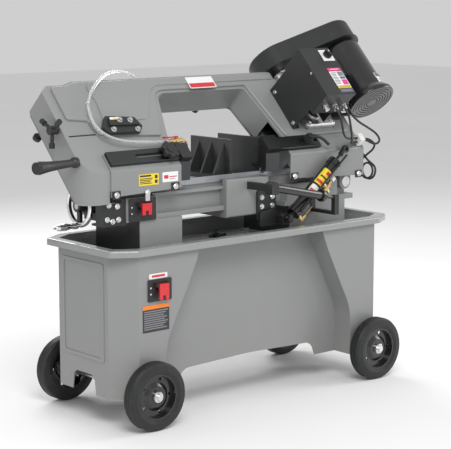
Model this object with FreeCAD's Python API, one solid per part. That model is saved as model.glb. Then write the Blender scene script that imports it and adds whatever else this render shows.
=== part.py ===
"""Horizontal and vertical metal-cutting band saw on a wheeled cabinet.

Row frame: millimetres, +Z up, +X along the front towards the pivot end, +Y to the back.
The origin is on the floor, under the middle of the whole machine.

The shapes are drawn in a stand frame whose origin is midway between the four wheels, and
save() moves them into the row frame. Pieces of the saw arm are drawn in an arm frame
(x, u, n): u runs up the plane of the blade wheels and n is that plane's normal, and tilt()
turns the arm frame into the stand frame.
"""
import FreeCAD
import Part
import math
import os

V = FreeCAD.Vector
os.makedirs("parts", exist_ok=True)

# ---------------------------------------------------------------- driving dimensions, mm
DATUM = V(68, -2, 0)           # stand frame to row frame
FIT = 0.05                     # radial clearance of a running shaft
GAP = 0.4                      # clearance between parts that pass each other

TYRE_R = 100.0
TYRE_W = 45.0
TYRE_BORE = 66.0
AXLE_R = 8.0
WHEEL_X = 451.0
WHEEL_Y = 220.0

CABINET_X = 540.0              # half length
CABINET_Y = 185.0              # half depth
CABINET_CHAMFER = 63.0
CABINET_Z0 = 84.0
CABINET_Z1 = 502.0
SHEET = 4.0
RECESS = 72.0                  # how far the middle front panel is set back

PAN_X = 560.0
PAN_Y = 200.0
PAN_RIM_H = 20.0
PAN_FLOOR = 472.0
PAN_LIP = 30.0                 # width of the rim
BASIN_X = 522.0
BASIN_Y = (-102.0, 162.0)
DRAIN = V(200, 130, 0)

BED_FRONT = -80.0
BED_WAY = -46.0                # front of the part of the bed behind the blade
BED_BACK = 140.0
BED_LEFT = -440.0
BED_RIGHT = 470.0
BED_TOP = 668.0
BED_LOW = 560.0
WAY_W = 30.0                   # slot for the jaw's tongue
SCREW_Y = 60.0
SCREW_Z = 622.0
SCREW_R = 9.0
HAND_R = 63.0
HAND_RIM = 8.0                 # thickness radius of the handwheel's rim
HAND_X = -505.0
JAW_T = 12.0
JAW_H = 122.0
JAW_FACE = 8.0                 # clamping face of the movable jaw, at rest
FIXED_FACE = 108.0

ARM_TILT = 47.0
ARM_FRONT = 575.0              # n of the casting's front face
ARM_DEPTH = 90.0
WALL = 7.0
ARM_LEFT = -600.0
ARM_RIGHT = 507.0
BEAM_TOP = 803.0
BEAM_LOW = 741.0
BEAM_END = 298.0
HEAD_TOP = 771.0
SKIRT_Y = -100.0               # front of the upright lower edge of the arm
NOSE_Z = 645.0
CLEAR_Z = 682.0                # underside of the arm over the bed
PIVOT = V(450, 0, 628)
PIVOT_R = 12.0

WHEEL_R = 148.0                # blade wheel
WHEEL_T = 28.0
WHEEL_U = 608.6
WHEEL_N = 503.0
IDLER_X = -436.0
DRIVE_X = 334.0
BLADE_W = 19.0
BLADE_T = 0.9
BLADE_GAP = 0.5                # between the band and the blade wheels
BLADE_Z = 680.5

WORM_X = 370.0
WORM_N = 555.0
NOSE_R = 36.0                  # gearbox nose under the worm's pulley
MOTOR_X = 540.0
MOTOR_N = 677.0
MOTOR_R = 65.0
MOTOR_LOW = 572.0              # u of the motor's fan end
COVER_U = 805.0
COVER_H = 70.0
COVER_R_WORM = 89.0
COVER_R_MOTOR = 69.0
COVER_WALL = 3.0
PULLEY_R_WORM = 62.0
PULLEY_R_MOTOR = 31.0
BELT_T = 8.0
GEARBOX = (300.0, 428.0, 556.0, 784.0)   # x and u limits
GEARBOX_N = (525.0, 600.0)
KNOB_U = 642.0
KNOB_N = 562.0
TENSION_R = 5.5                # blade-tension screw
LEFT_GUIDE_X = -236.0          # middle of each guide head
RIGHT_GUIDE_X = 112.0
GUIDE_U = (484.0, 530.0)       # the guide bars' width up the slope
GUARD_T = 4.0
FLANGE_N = ARM_FRONT + GAP + GUARD_T + GAP   # underside of the guide bars
BAR_T = 12.0
LEFT_CLAMP_X = -292.0
RIGHT_CLAMP_X = 268.0
CLAMP_U = 507.0
JAW_Y = (-28.0, 160.0)
ROLLER_R = 7.0
HOSE_R = 4.5
CABLE_R = 3.5
FITTING = V(-244, -66, 806)    # coolant valve on the left guide head
COIL_R = 24.0                  # spare loop of cable at the arm's right end
COIL_Y = -93.0
COIL_Z = 658.0
COIL_TURNS = 1.75
COIL_STEPS = 21
GROMMET_L = 9.0
GROMMET = V(ARM_RIGHT, -70, 716)   # where the spare cable goes into the arm's end
CLIP = (474.0, 494.0, 474.0, 502.0, 583.4, 612.0)   # cable clip on the arm: x, u and n limits

BOX_X = (245.0, 370.0)         # control box
BOX_U = (540.0, 728.0)
BOX_N = (685.0, 775.0)
DIAL = V(345, 697, 0)          # centre of the selector dial, in x and u
GLANDS_X = (268.0, 306.0, 344.0)
GLAND_N = 728.0
GLAND_L = 22.0

CYLINDER_Y = -130.0            # feed cylinder
CYLINDER_LOW = V(150, CYLINDER_Y, 540)
CYLINDER_TOP = V(394, CYLINDER_Y, 742)
CYLINDER_R = 20.0
SPRING_Y = -182.0              # balance spring
SPRING_LOW = V(237, SPRING_Y, 612)
SPRING_HIGH = V(40, SPRING_Y, 653)


# ---------------------------------------------------------------- shape helpers
def save(name, *shapes):
    """Write one node: its shapes moved from the stand frame into the row frame."""
    solids = []
    for shape in shapes:
        moved = shape.copy()
        moved.translate(DATUM)
        solids.extend(moved.Solids)
    whole = solids[0] if len(solids) == 1 else Part.makeCompound(solids)
    bad = [s for s in solids if not s.isValid() or s.Volume < 1]
    print(f"{name:26s} solids {len(solids):3d} volume {whole.Volume:12.0f}", "BAD" if bad else "")
    whole.exportStep(f"parts/{name}.step")


def tilt(shape):
    """Turn a shape from the arm frame into the stand frame."""
    turned = shape.copy()
    turned.rotate(V(0, 0, 0), V(1, 0, 0), ARM_TILT)
    return turned


def arm_point(x, u, n):
    """A point of the arm frame, in the stand frame."""
    t = math.radians(ARM_TILT)
    return V(x, u * math.cos(t) - n * math.sin(t), u * math.sin(t) + n * math.cos(t))


def box(x0, x1, y0, y1, z0, z1):
    return Part.makeBox(x1 - x0, y1 - y0, z1 - z0, V(x0, y0, z0))


def rod(r, p0, p1):
    """A round bar from p0 to p1."""
    along = p1 - p0
    return Part.makeCylinder(r, along.Length, p0, along)


def ring(r_out, r_in, p0, p1):
    """A tube wall from p0 to p1."""
    return rod(r_out, p0, p1).cut(rod(r_in, p0, p1))


def outline(points):
    """A closed wire through (a, b, radius) corners, each rounded by its radius."""
    corners = [(V(p[0], p[1], 0), p[2] if len(p) > 2 else 0.0) for p in points]
    edges, ends = [], []
    count = len(corners)
    for i, (corner, radius) in enumerate(corners):
        before = (corners[i - 1][0] - corner).normalize()
        after = (corners[(i + 1) % count][0] - corner).normalize()
        if radius <= 0:
            ends.append((corner, None, corner))
            continue
        half = before.getAngle(after) / 2
        reach = radius / math.tan(half)
        middle = corner + (before + after).normalize() * (radius / math.sin(half) - radius)
        ends.append((corner + before * reach, middle, corner + after * reach))
    for i, (start, middle, stop) in enumerate(ends):
        if middle is not None:
            edges.append(Part.Arc(start, middle, stop).toShape())
        following = ends[(i + 1) % count][0]
        if (following - stop).Length > 1e-6:
            edges.append(Part.LineSegment(stop, following).toShape())
    return Part.Wire(edges)


def prism(points, low, high):
    """A rounded outline in the first two axes, raised from low to high along the third."""
    face = Part.Face(outline(points))
    face.translate(V(0, 0, low))
    return face.extrude(V(0, 0, high - low))


def prism_x(points, low, high):
    """The same with the outline in (y, z), raised along x."""
    solid = prism(points, low, high)
    solid.rotate(V(0, 0, 0), V(1, 1, 1), 120)
    return solid


def prism_y(points, low, high):
    """The same with the outline in (x, z), raised along y."""
    solid = prism(points, -high, -low)
    solid.rotate(V(0, 0, 0), V(1, 0, 0), 90)
    return solid


def octagon(half_x, half_y, cut_x, cut_y, radius=0.0):
    """Corners of a rectangle whose four corners are cut off."""
    quarter = [(half_x - cut_x, half_y), (half_x, half_y - cut_y)]
    corners = [(-x, y) for x, y in reversed(quarter)] + quarter
    corners += [(x, -y) for x, y in reversed(quarter)] + [(-x, -y) for x, y in quarter]
    return [(x, y, radius) for x, y in corners]


def hexagon(r, p0, p1):
    """A six-sided bolt head from p0 to p1."""
    along = p1 - p0
    points = [(r * math.cos(math.radians(60 * i)), r * math.sin(math.radians(60 * i))) for i in range(6)]
    solid = prism(points, 0, along.Length)
    solid.Placement = FreeCAD.Placement(p0, FreeCAD.Rotation(V(0, 0, 1), along))
    return solid


def bolt(p0, direction, head_r=6.0, head_h=5.0, shank=0.0):
    """A hexagon head with a washer standing on the face at p0, and a shank going into it."""
    out = V(direction).normalize()
    solid = hexagon(head_r, p0 + out * 1.5, p0 + out * (1.5 + head_h))
    solid = solid.fuse(rod(head_r * 1.35, p0, p0 + out * 1.5))
    if shank:
        solid = solid.fuse(rod(head_r * 0.5, p0 - out * shank, p0))
    return solid


def fuse(shapes):
    solid = shapes[0]
    for shape in shapes[1:]:
        solid = solid.fuse(shape)
    return solid.removeSplitter()


def belt_hull(x0, n0, r0, x1, n1, r1, low, high):
    """The outer tangent hull of two circles in the arm's (x, n) plane, raised along u."""
    a, b = V(x0, n0, 0), V(x1, n1, 0)
    along = b - a
    bearing = math.atan2(along.y, along.x)
    lean = math.acos((r0 - r1) / along.Length)

    def on(centre, radius, angle):
        return centre + V(math.cos(angle), math.sin(angle), 0) * radius

    left, right = bearing + lean, bearing - lean
    edges = [
        Part.LineSegment(on(a, r0, left), on(b, r1, left)).toShape(),
        Part.Arc(on(b, r1, left), on(b, r1, bearing), on(b, r1, right)).toShape(),
        Part.LineSegment(on(b, r1, right), on(a, r0, right)).toShape(),
        Part.Arc(on(a, r0, right), on(a, r0, bearing + math.pi), on(a, r0, left)).toShape(),
    ]
    face = Part.Face(Part.Wire(edges))
    face.translate(V(0, 0, -high))
    solid = face.extrude(V(0, 0, high - low))
    solid.rotate(V(0, 0, 0), V(1, 0, 0), 90)
    return solid


def cord(points, r):
    """A tube of straight runs joined by tangent arcs, each as large as its runs allow."""
    edges, here, radii = [], points[0], []
    for i in range(1, len(points) - 1):
        before, after = points[i - 1] - points[i], points[i + 1] - points[i]
        run = min(before.Length, after.Length)
        before.normalize()
        after.normalize()
        half = before.getAngle(after) / 2
        radius = 0.45 * run * math.tan(half)
        radii.append(radius)
        reach = 0.45 * run
        middle = points[i] + (before + after).normalize() * (radius / math.sin(half) - radius)
        start, stop = points[i] + before * reach, points[i] + after * reach
        edges.append(Part.LineSegment(here, start).toShape())
        edges.append(Part.Arc(start, middle, stop).toShape())
        here = stop
    edges.append(Part.LineSegment(here, points[-1]).toShape())
    path = Part.Wire(edges)
    first = (points[1] - points[0]).normalize()
    section = Part.Wire([Part.Circle(points[0], first, r).toShape()])
    tube = path.makePipeShell([section], True, True)
    error = tube.Volume / (math.pi * r * r * path.Length) - 1
    print(f"   cord r {r} length {path.Length:.0f} least radius {min(radii):.1f} volume error {error:.4f}")
    return tube


# ---------------------------------------------------------------- cabinet, pan and wheels
def leg_curve(inset):
    """The swept inner edge of the left leg's front, from top to bottom, as (x, z) points."""
    points = [(-246, 520), (-288, 417), (-319, 356), (-348, 298), (-372, 246), (-381, 191), (-381, 40)]
    return [V(x - inset, z, 0) for x, z in points]


def front_recess(inset):
    """The space in front of the middle panel, between the swept legs."""
    left = leg_curve(inset)
    right = [V(-p.x - 8, p.y, 0) for p in left]
    curve_left = Part.BSplineCurve()
    curve_left.interpolate(left)
    curve_right = Part.BSplineCurve()
    curve_right.interpolate(list(reversed(right)))
    edges = [
        curve_left.toShape(),
        Part.LineSegment(left[-1], right[-1]).toShape(),
        curve_right.toShape(),
        Part.LineSegment(right[0], left[0]).toShape(),
    ]
    face = Part.Face(Part.Wire(edges))
    front = -CABINET_Y + RECESS + inset
    face.translate(V(0, 0, -front))
    solid = face.extrude(V(0, 0, 150))
    solid.rotate(V(0, 0, 0), V(1, 0, 0), 90)
    return solid


def cabinet_body(inset):
    """The cabinet's outside, or its inside when inset by the sheet's thickness."""
    cut = CABINET_CHAMFER - inset * 0.6
    plan = octagon(CABINET_X - inset, CABINET_Y - inset, cut, cut)
    extra = 30 if inset else 0
    solid = prism(plan, CABINET_Z0 - extra, CABINET_Z1 + extra)
    return solid.cut(front_recess(inset))


def stand_cabinet():
    shell = cabinet_body(0).cut(cabinet_body(SHEET))
    # arched lower edge of the middle panel, front and back
    arch = prism_y([(-300, 40, 0), (300, 40, 0), (270, 128, 40), (0, 136, 600), (-262, 128, 40)], -200, 200)
    side_arch = prism_x([(-66, 40, 0), (66, 40, 0), (50, 142, 22), (-50, 142, 22)], -600, 600)
    shell = shell.cut(arch).cut(side_arch)
    # access opening in the back, for the coolant tank
    shell = shell.cut(box(60, 330, 150, 220, 190, 430))
    # raised frame pressed into each end panel
    for side in (-1, 1):
        x0, x1 = sorted((side * (CABINET_X - 0.5), side * (CABINET_X + 2.5)))
        outer = prism_x([(-102, 188, 8), (102, 188, 8), (102, 476, 8), (-102, 476, 8)], x0, x1)
        inner = prism_x([(-92, 198, 8), (92, 198, 8), (92, 466, 8), (-92, 466, 8)], x0 - 1, x1 + 1)
        shell = shell.fuse(outer.cut(inner))
    # bushes that carry the axles
    for x in (-WHEEL_X, WHEEL_X):
        for y0, y1 in ((-CABINET_Y + 1, -CABINET_Y + 16), (CABINET_Y - 16, CABINET_Y - 1)):
            shell = shell.fuse(rod(15, V(x, y0, 100), V(x, y1, 100)))
        shell = shell.cut(rod(AXLE_R + FIT, V(x, -210, 100), V(x, 210, 100)))
    # shelf under the coolant tank
    shell = shell.fuse(box(40, 360, -CABINET_Y + RECESS + SHEET - 1, CABINET_Y - 1, 180, 183))
    save("stand_cabinet", shell)


def basin_plan(grow):
    """The basin's outline, or its outside when grown by the sheet's thickness."""
    x, y0, y1 = BASIN_X + grow, BASIN_Y[0] - grow, BASIN_Y[1] + grow
    return [(-x, y0, 8), (x, y0, 8), (x, y1 - 50, 8), (x - 50, y1, 8), (50 - x, y1, 8), (-x, y1 - 50, 8)]


def drip_pan():
    """A rolled rim on the cabinet's top edge, a shelf inside it, and a narrower basin."""
    top = CABINET_Z1 + PAN_RIM_H
    pan = prism(octagon(PAN_X, PAN_Y, 75, 45, 12), CABINET_Z1, top)
    pan = pan.makeFillet(7, [e for e in pan.Edges if e.BoundBox.ZMin > top - 1])
    x_in, y_in = PAN_X - PAN_LIP, PAN_Y - PAN_LIP
    pan = pan.cut(prism(octagon(x_in, y_in, 62, 36, 10), CABINET_Z1 + SHEET, top + 30))
    under = prism(octagon(PAN_X - 5, PAN_Y - 5, 73, 43, 10), CABINET_Z1 - 5, CABINET_Z1 + 11)
    kept = prism(octagon(CABINET_X + 1, CABINET_Y + 1, CABINET_CHAMFER, CABINET_CHAMFER), 400,
                 CABINET_Z1 + 20)
    pan = pan.cut(under.cut(kept))
    pan = pan.fuse(prism(basin_plan(SHEET), PAN_FLOOR - SHEET, CABINET_Z1 + 1))
    pan = pan.cut(prism(basin_plan(0), PAN_FLOOR, top + 30))
    pan = pan.fuse(rod(16, V(DRAIN.x, DRAIN.y, PAN_FLOOR - 22), V(DRAIN.x, DRAIN.y, PAN_FLOOR - 1)))
    pan = pan.cut(rod(11, V(DRAIN.x, DRAIN.y, PAN_FLOOR - 30), V(DRAIN.x, DRAIN.y, PAN_FLOOR + 5)))
    save("drip_pan", pan)


def coolant_tank():
    tank = box(70, 320, -70, 150, 183, 330).cut(box(73, 317, -67, 147, 186, 335))
    lid = box(68, 322, -72, 152, 330, 334).cut(rod(13, V(DRAIN.x, DRAIN.y, 320), V(DRAIN.x, DRAIN.y, 340)))
    pump = rod(42, V(120, 20, 334), V(120, 20, 400)).fuse(rod(16, V(120, 20, 400), V(120, 20, 412)))
    pump = pump.fuse(rod(26, V(120, 20, 240), V(120, 20, 334)))
    lid = lid.cut(rod(26 + GAP, V(120, 20, 320), V(120, 20, 340)))
    save("coolant_tank", tank, lid, pump)


def wheel_and_axle():
    axles = []
    for x in (-WHEEL_X, WHEEL_X):
        end = WHEEL_Y + 28
        axle = rod(AXLE_R, V(x, -end, 100), V(x, end, 100))
        for side in (-1, 1):
            stop = V(x, side * (CABINET_Y + 0.5), 100)
            axle = axle.fuse(rod(13, stop, stop + V(0, side * 6, 0)))
            face = V(x, side * (WHEEL_Y + 18.5), 100)
            axle = axle.fuse(rod(15, face, face + V(0, side * 2, 0)))
            pin = V(x, side * (end - 4), 100)
            axle = axle.fuse(rod(1.8, pin - V(0, 0, 13), pin + V(0, 0, 13)))
            axle = axle.fuse(ring(4.2, 2.4, pin + V(-1.8, 0, 14), pin + V(1.8, 0, 14)))
        axles.append(axle)
    save("wheel_axles", *axles)
    for end_name, x in (("left", -WHEEL_X), ("right", WHEEL_X)):
        for side_name, side in (("front", -1), ("rear", 1)):
            tyre, rim = tyre_shape(), rim_shape()
            if side > 0:
                tyre.rotate(V(0, 0, 0), V(0, 0, 1), 180)
                rim.rotate(V(0, 0, 0), V(0, 0, 1), 180)
            place = V(x, side * WHEEL_Y, 100)
            tyre.translate(place)
            rim.translate(place)
            save(f"tyre_{side_name}_{end_name}", tyre)
            save(f"wheel_rim_{side_name}_{end_name}", rim)


def revolve_y(points):
    """A profile of (radius, y) corners, turned about Y."""
    wire = outline([(p[0], p[1]) + tuple(p[2:]) for p in points])
    return Part.Face(wire).revolve(V(0, 0, 0), V(0, 1, 0), 360)


def tyre_shape():
    half = TYRE_W / 2
    profile = [(TYRE_BORE, -half + 4, 2), (78, -half, 3), (TYRE_R - 4, -half + 3, 5),
               (TYRE_R, -half + 10, 4),
               (TYRE_R, half - 10, 4), (TYRE_R - 4, half - 3, 5), (78, half, 3), (TYRE_BORE, half - 4, 2)]
    tyre = revolve_y(profile)
    for y in (-7, 0, 7):
        groove = ring(TYRE_R + 2, TYRE_R - 1.5, V(0, y - 1, 0), V(0, y + 1, 0))
        tyre = tyre.cut(groove)
    return tyre


def rim_shape():
    """A pressed steel disc wheel with its hub, front face towards -Y."""
    half = TYRE_W / 2 - 4
    barrel = ring(TYRE_BORE, TYRE_BORE - 4, V(0, -half, 0), V(0, half, 0))
    disc = revolve_y([(12, -12, 1), (30, -12, 3), (42, -4, 3), (TYRE_BORE - 2, -4), (TYRE_BORE - 2, 0),
                      (42, 0, 3), (30, -8, 3), (12, -8, 1)])
    hub = rod(16, V(0, -18, 0), V(0, 18, 0))
    rim = barrel.fuse(disc).fuse(hub).cut(rod(AXLE_R + FIT, V(0, -30, 0), V(0, 30, 0)))
    for i in range(5):
        angle = math.radians(72 * i)
        at = V(51 * math.cos(angle), 0, 51 * math.sin(angle))
        rim = rim.cut(rod(5.5, at - V(0, 20, 0), at + V(0, 20, 0)))
    return rim


# ---------------------------------------------------------------- bed and pedestals
def pedestal(name, x0, x1, top):
    """A folded sheet pedestal, open below, with a foot flange bolted to the pan."""
    y0, y1 = BED_FRONT, BED_BACK
    shell = box(x0, x1, y0, y1, PAN_FLOOR, top)
    shell = shell.makeFillet(8, [e for e in shell.Edges if abs(e.Vertexes[0].Z - e.Vertexes[-1].Z) > 50])
    shell = shell.cut(box(x0 + 5, x1 - 5, y0 + 5, y1 - 5, PAN_FLOOR - 1, top - 6))
    foot = box(x0 - 22, x1 + 22, y0, y1, PAN_FLOOR, PAN_FLOOR + 4)
    foot = foot.cut(box(x0 + 5, x1 - 5, y0 + 5, y1 - 5, PAN_FLOOR - 1, PAN_FLOOR + 9))
    foot_top = PAN_FLOOR + 4
    bolts = [bolt(V(x, y, foot_top), V(0, 0, 1), 6, 5) for x in (x0 - 12, x1 + 12) for y in (y0 + 40,
                                                                                             y1 - 40)]
    save(name, fuse([shell, foot]), *bolts)


def bed_casting():
    """The vise bed: a hollow way behind the blade, with a block and two pads in front of it."""
    way = box(BED_LEFT, BED_RIGHT - 60, BED_WAY, BED_BACK, 582, BED_TOP)
    way = way.cut(box(BED_LEFT - 1, BED_RIGHT - 72, BED_WAY + 14, BED_BACK - 14, 570, BED_TOP - 22))
    way = way.cut(box(BED_LEFT + 90, FIXED_FACE - 1, SCREW_Y - WAY_W / 2, SCREW_Y + WAY_W / 2, 600, 700))
    ledge = box(BED_LEFT + 110, -59, BED_WAY - 14, BED_WAY + 1, BED_TOP - 22, BED_TOP - 12)
    foot = box(BED_LEFT, -59, BED_WAY - 22, BED_WAY + 15, 582, 596)
    block = box(-59, 113, BED_FRONT, BED_WAY + 1, 558, 674)
    block = block.makeFillet(5, [e for e in block.Edges if e.BoundBox.YMax < BED_FRONT + 1])
    block = block.fuse(box(-59, 113, BED_WAY, BED_BACK, 558, 584).cut(box(-51, 105, BED_WAY + 12, 130,
                                                                          550, 590)))
    slot = box(-80, 130, -58.5, -48.5, 648, 690)
    left_pad = box(BED_LEFT, BED_LEFT + 112, BED_FRONT, BED_WAY + 1, 582, 652)
    right_pad = box(190, BED_RIGHT - 60, BED_FRONT, BED_WAY + 15, 572, 640)
    shelf = box(180, BED_RIGHT + 12, BED_FRONT, BED_BACK, 572, 588).cut(box(200, 390, -60, 128, 560, 600))
    bearing = box(418, BED_RIGHT, -52, 44, 588, 628).fuse(rod(20, V(450, -52, 628), V(450, 44, 628)))
    neck = box(395, 419, BED_WAY, BED_BACK, 588, 640)
    bed = fuse([way, ledge, foot, block, left_pad, right_pad, shelf, bearing, neck]).cut(slot)
    bed = bed.cut(rod(PIVOT_R + FIT, PIVOT - V(0, 60, 0), PIVOT + V(0, 60, 0)))
    # relief for the arm's back lug when the arm stands upright
    bed = bed.cut(box(466, BED_RIGHT + 20, 50, 74, 583, 600))
    save("bed_casting", bed)


def pivot_shaft():
    shaft = rod(PIVOT_R, PIVOT + V(0, -76, 0), PIVOT + V(0, 78, 0))
    shaft = shaft.fuse(rod(17, PIVOT + V(0, -80, 0), PIVOT + V(0, -76, 0)))
    save("pivot_shaft", shaft)


# ---------------------------------------------------------------- vise
def jaw_plate(face, side, foot):
    """A jaw: an upright plate with its clamping face at x = face, and ribs on the other side."""
    back = face - side * JAW_T
    low, high = BED_TOP + GAP, BED_TOP + JAW_H
    plate = box(min(face, back), max(face, back), JAW_Y[0], JAW_Y[1], low, high)
    ribs = []
    for y in (0, 60, 120):
        ribs.append(prism_y([(back, low, 0), (back - side * foot, low, 0), (back - side * foot, low + 16,
                                                                            0),
                             (back, high - 12, 0)], y - 4, y + 4))
    base = box(min(back, back - side * foot), max(back, back - side * foot), JAW_Y[0] + 8, 150, low,
               low + 14)
    return fuse([plate, base] + ribs)


def vise():
    fixed = jaw_plate(FIXED_FACE, -1, 40)
    fixed_bolts = [bolt(V(FIXED_FACE + 34, y, BED_TOP + 14.4), V(0, 0, 1), 7, 6) for y in (30, 90)]
    save("fixed_jaw", fixed, *fixed_bolts)
    jaw = jaw_plate(JAW_FACE, 1, 42)
    nut_x = JAW_FACE - JAW_T - 40
    tongue = box(nut_x, nut_x + 36, SCREW_Y - WAY_W / 2 + GAP, SCREW_Y + WAY_W / 2 - GAP, SCREW_Z,
                 BED_TOP + 5)
    nut = rod(20, V(nut_x, SCREW_Y, SCREW_Z), V(nut_x + 36, SCREW_Y, SCREW_Z))
    bore = rod(SCREW_R + GAP, V(nut_x - 9, SCREW_Y, SCREW_Z), V(nut_x + 50, SCREW_Y, SCREW_Z))
    save("movable_jaw", fuse([jaw, tongue, nut]).cut(bore))

    wall = BED_LEFT - 14
    bracket = box(wall, BED_LEFT, BED_FRONT + 4, 110, 574, 652)
    bracket = bracket.fuse(box(-520, wall + 1, BED_FRONT + 4, BED_FRONT + 14, 580, NOSE_Z - 3))
    bracket = bracket.fuse(box(-484, wall + 1, SCREW_Y - 22, SCREW_Y + 22, SCREW_Z - 22, SCREW_Z + 22))
    bracket = bracket.fuse(box(-520, -506, BED_FRONT + 4, BED_FRONT + 40, 580, NOSE_Z - 3))
    bracket = bracket.fuse(box(-520, wall + 1, BED_FRONT + 4, BED_FRONT + 60, 576, 582))
    bore = rod(SCREW_R + FIT, V(-500, SCREW_Y, SCREW_Z), V(-430, SCREW_Y, SCREW_Z))
    bracket = bracket.cut(bore)
    front = BED_FRONT + 4
    bolts = [bolt(V(x, front, z), V(0, -1, 0), 6, 5) for x, z in ((-506, 597), (-487, 590), (-466, 594),
                                                                  (-470, 632))]
    bolts.append(bolt(V(-500, front, 638), V(0, -1, 0), 6, 5))
    save("vise_screw_bracket", bracket, *bolts)

    end = FIXED_FACE - 8
    screw = rod(SCREW_R, V(HAND_X - 12, SCREW_Y, SCREW_Z), V(end, SCREW_Y, SCREW_Z))
    screw = screw.fuse(rod(14, V(-430, SCREW_Y, SCREW_Z), V(-424, SCREW_Y, SCREW_Z)))
    for i in range(23):
        x = -400 + 21 * i
        if x < end - 8:
            screw = screw.cut(ring(SCREW_R + 1, SCREW_R - 1.2, V(x, SCREW_Y, SCREW_Z),
                                   V(x + 3, SCREW_Y, SCREW_Z)))
    save("vise_screw", screw)

    hub = V(HAND_X, SCREW_Y, SCREW_Z)
    rim = Part.makeTorus(HAND_R - HAND_RIM, HAND_RIM, hub, V(1, 0, 0))
    spokes = []
    for i in range(3):
        spoke = box(-5, 5, -7, 7, 12, HAND_R - 8)
        spoke.rotate(V(0, 0, 0), V(1, 0, 0), 180 + 120 * i)
        spoke.translate(hub)
        spokes.append(spoke)
    boss = rod(17, hub - V(12, 0, 0), hub + V(14, 0, 0))
    stud = hub + V(0, 0, -HAND_R + 6)
    wheel = fuse([rim, boss] + spokes).cut(rod(SCREW_R, hub - V(20, 0, 0), hub + V(20, 0, 0)))
    wheel = wheel.fuse(rod(4, stud, stud - V(92, 0, 0)))
    save("handwheel", wheel)
    start = stud - V(8, 0, 0)
    profile = [(4 + FIT, 0), (9, 0, 2), (10, 10, 4), (7, 24, 10), (11, 44, 16), (10, 66, 8), (6, 78, 3),
               (4 + FIT, 78)]
    grip = revolve_y(profile)
    grip.rotate(V(0, 0, 0), V(0, 0, 1), 90)
    grip.translate(start)
    save("handwheel_grip", grip)


# ---------------------------------------------------------------- switches
def switch(box_name, paddle_name, x0, x1, z0, z1, face_y, back_y, tall):
    """A switch plate with its box behind, and the hinged stop paddle over its buttons."""
    plate = prism_y([(x0, z0, 4), (x1, z0, 4), (x1, z1, 4), (x0, z1, 4)], face_y, face_y + 3)
    body = box(x0 + 14, x1 - 14, face_y + 3, back_y, z0 + 8, z1 - 8)
    cx, cz = (x0 + x1) / 2 + 3, (z0 + z1) / 2
    wide = 17
    screws = [rod(2.6, V(x0 + 8, face_y - 2, z), V(x0 + 8, face_y, z)) for z in (cz - 9, cz + 9)]
    ears = box(cx - wide - 6, cx - wide - 1, face_y - 14, face_y + 1, cz + 10, cz + 22)
    ears = ears.fuse(box(cx + wide + 1, cx + wide + 6, face_y - 14, face_y + 1, cz + 10, cz + 22))
    ears = ears.cut(rod(2 + FIT, V(cx - 30, face_y - 9, cz + 16), V(cx + 30, face_y - 9, cz + 16)))
    save(box_name, fuse([plate, body, ears]), *screws)
    paddle = box(cx - wide, cx + wide, face_y - 17, face_y - 12, cz - tall, cz + 20)
    paddle = paddle.fuse(box(cx - wide, cx + wide, face_y - 13, face_y - 5, cz + 12, cz + 20))
    paddle = paddle.cut(box(cx - 5, cx + 5, face_y - 30, face_y, cz - tall - 1, cz - tall + 12))
    paddle = paddle.fuse(rod(2, V(cx - wide - 6, face_y - 9, cz + 16), V(cx + wide + 6, face_y - 9,
                                                                         cz + 16)))
    save(paddle_name, paddle)


# ---------------------------------------------------------------- saw arm
def arm_outline():
    """The arm seen along n: left head, beam and right head around an open-bottomed window."""
    return [(ARM_LEFT, 400), (ARM_LEFT, 772, 12), (ARM_LEFT + 24, 792, 12), (-520, 791, 10),
            (-483, BEAM_TOP, 14),
            (BEAM_END, BEAM_TOP, 8), (BEAM_END, HEAD_TOP, 8), (ARM_RIGHT, HEAD_TOP, 60), (ARM_RIGHT, 400),
            (207, 400), (207, 470), (150, BEAM_LOW, 14), (-197, BEAM_LOW, 34), (-262, 520, 10), (-256,
                                                                                                 470), (-256, 400)]


def clip_arm(shape, nose_z):
    """Trim a turned arm shape to its upright front, its flat underside and its rounded nose."""
    plan = prism([(ARM_LEFT, 400), (ARM_LEFT, SKIRT_Y, 55), (ARM_RIGHT, SKIRT_Y, 14), (ARM_RIGHT, 400)],
                 300, 1300)
    low = box(ARM_LEFT - 10, -513, -300, 300, nose_z, 1300).fuse(box(-514, 700, -300, 300, CLEAR_Z, 1300))
    return shape.common(plan).common(low)


def wheel_room(x, slide):
    """The round pocket around a blade wheel, long enough for the wheel to slide along x."""
    r = WHEEL_R + 8
    room = rod(r, V(x, WHEEL_U, 400), V(x, WHEEL_U, ARM_FRONT - WALL))
    if slide:
        room = room.fuse(rod(r, V(x + slide, WHEEL_U, 400), V(x + slide, WHEEL_U, ARM_FRONT - WALL)))
        room = room.fuse(box(x, x + slide, WHEEL_U - r, WHEEL_U + r, 400, ARM_FRONT - WALL))
    return room


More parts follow.
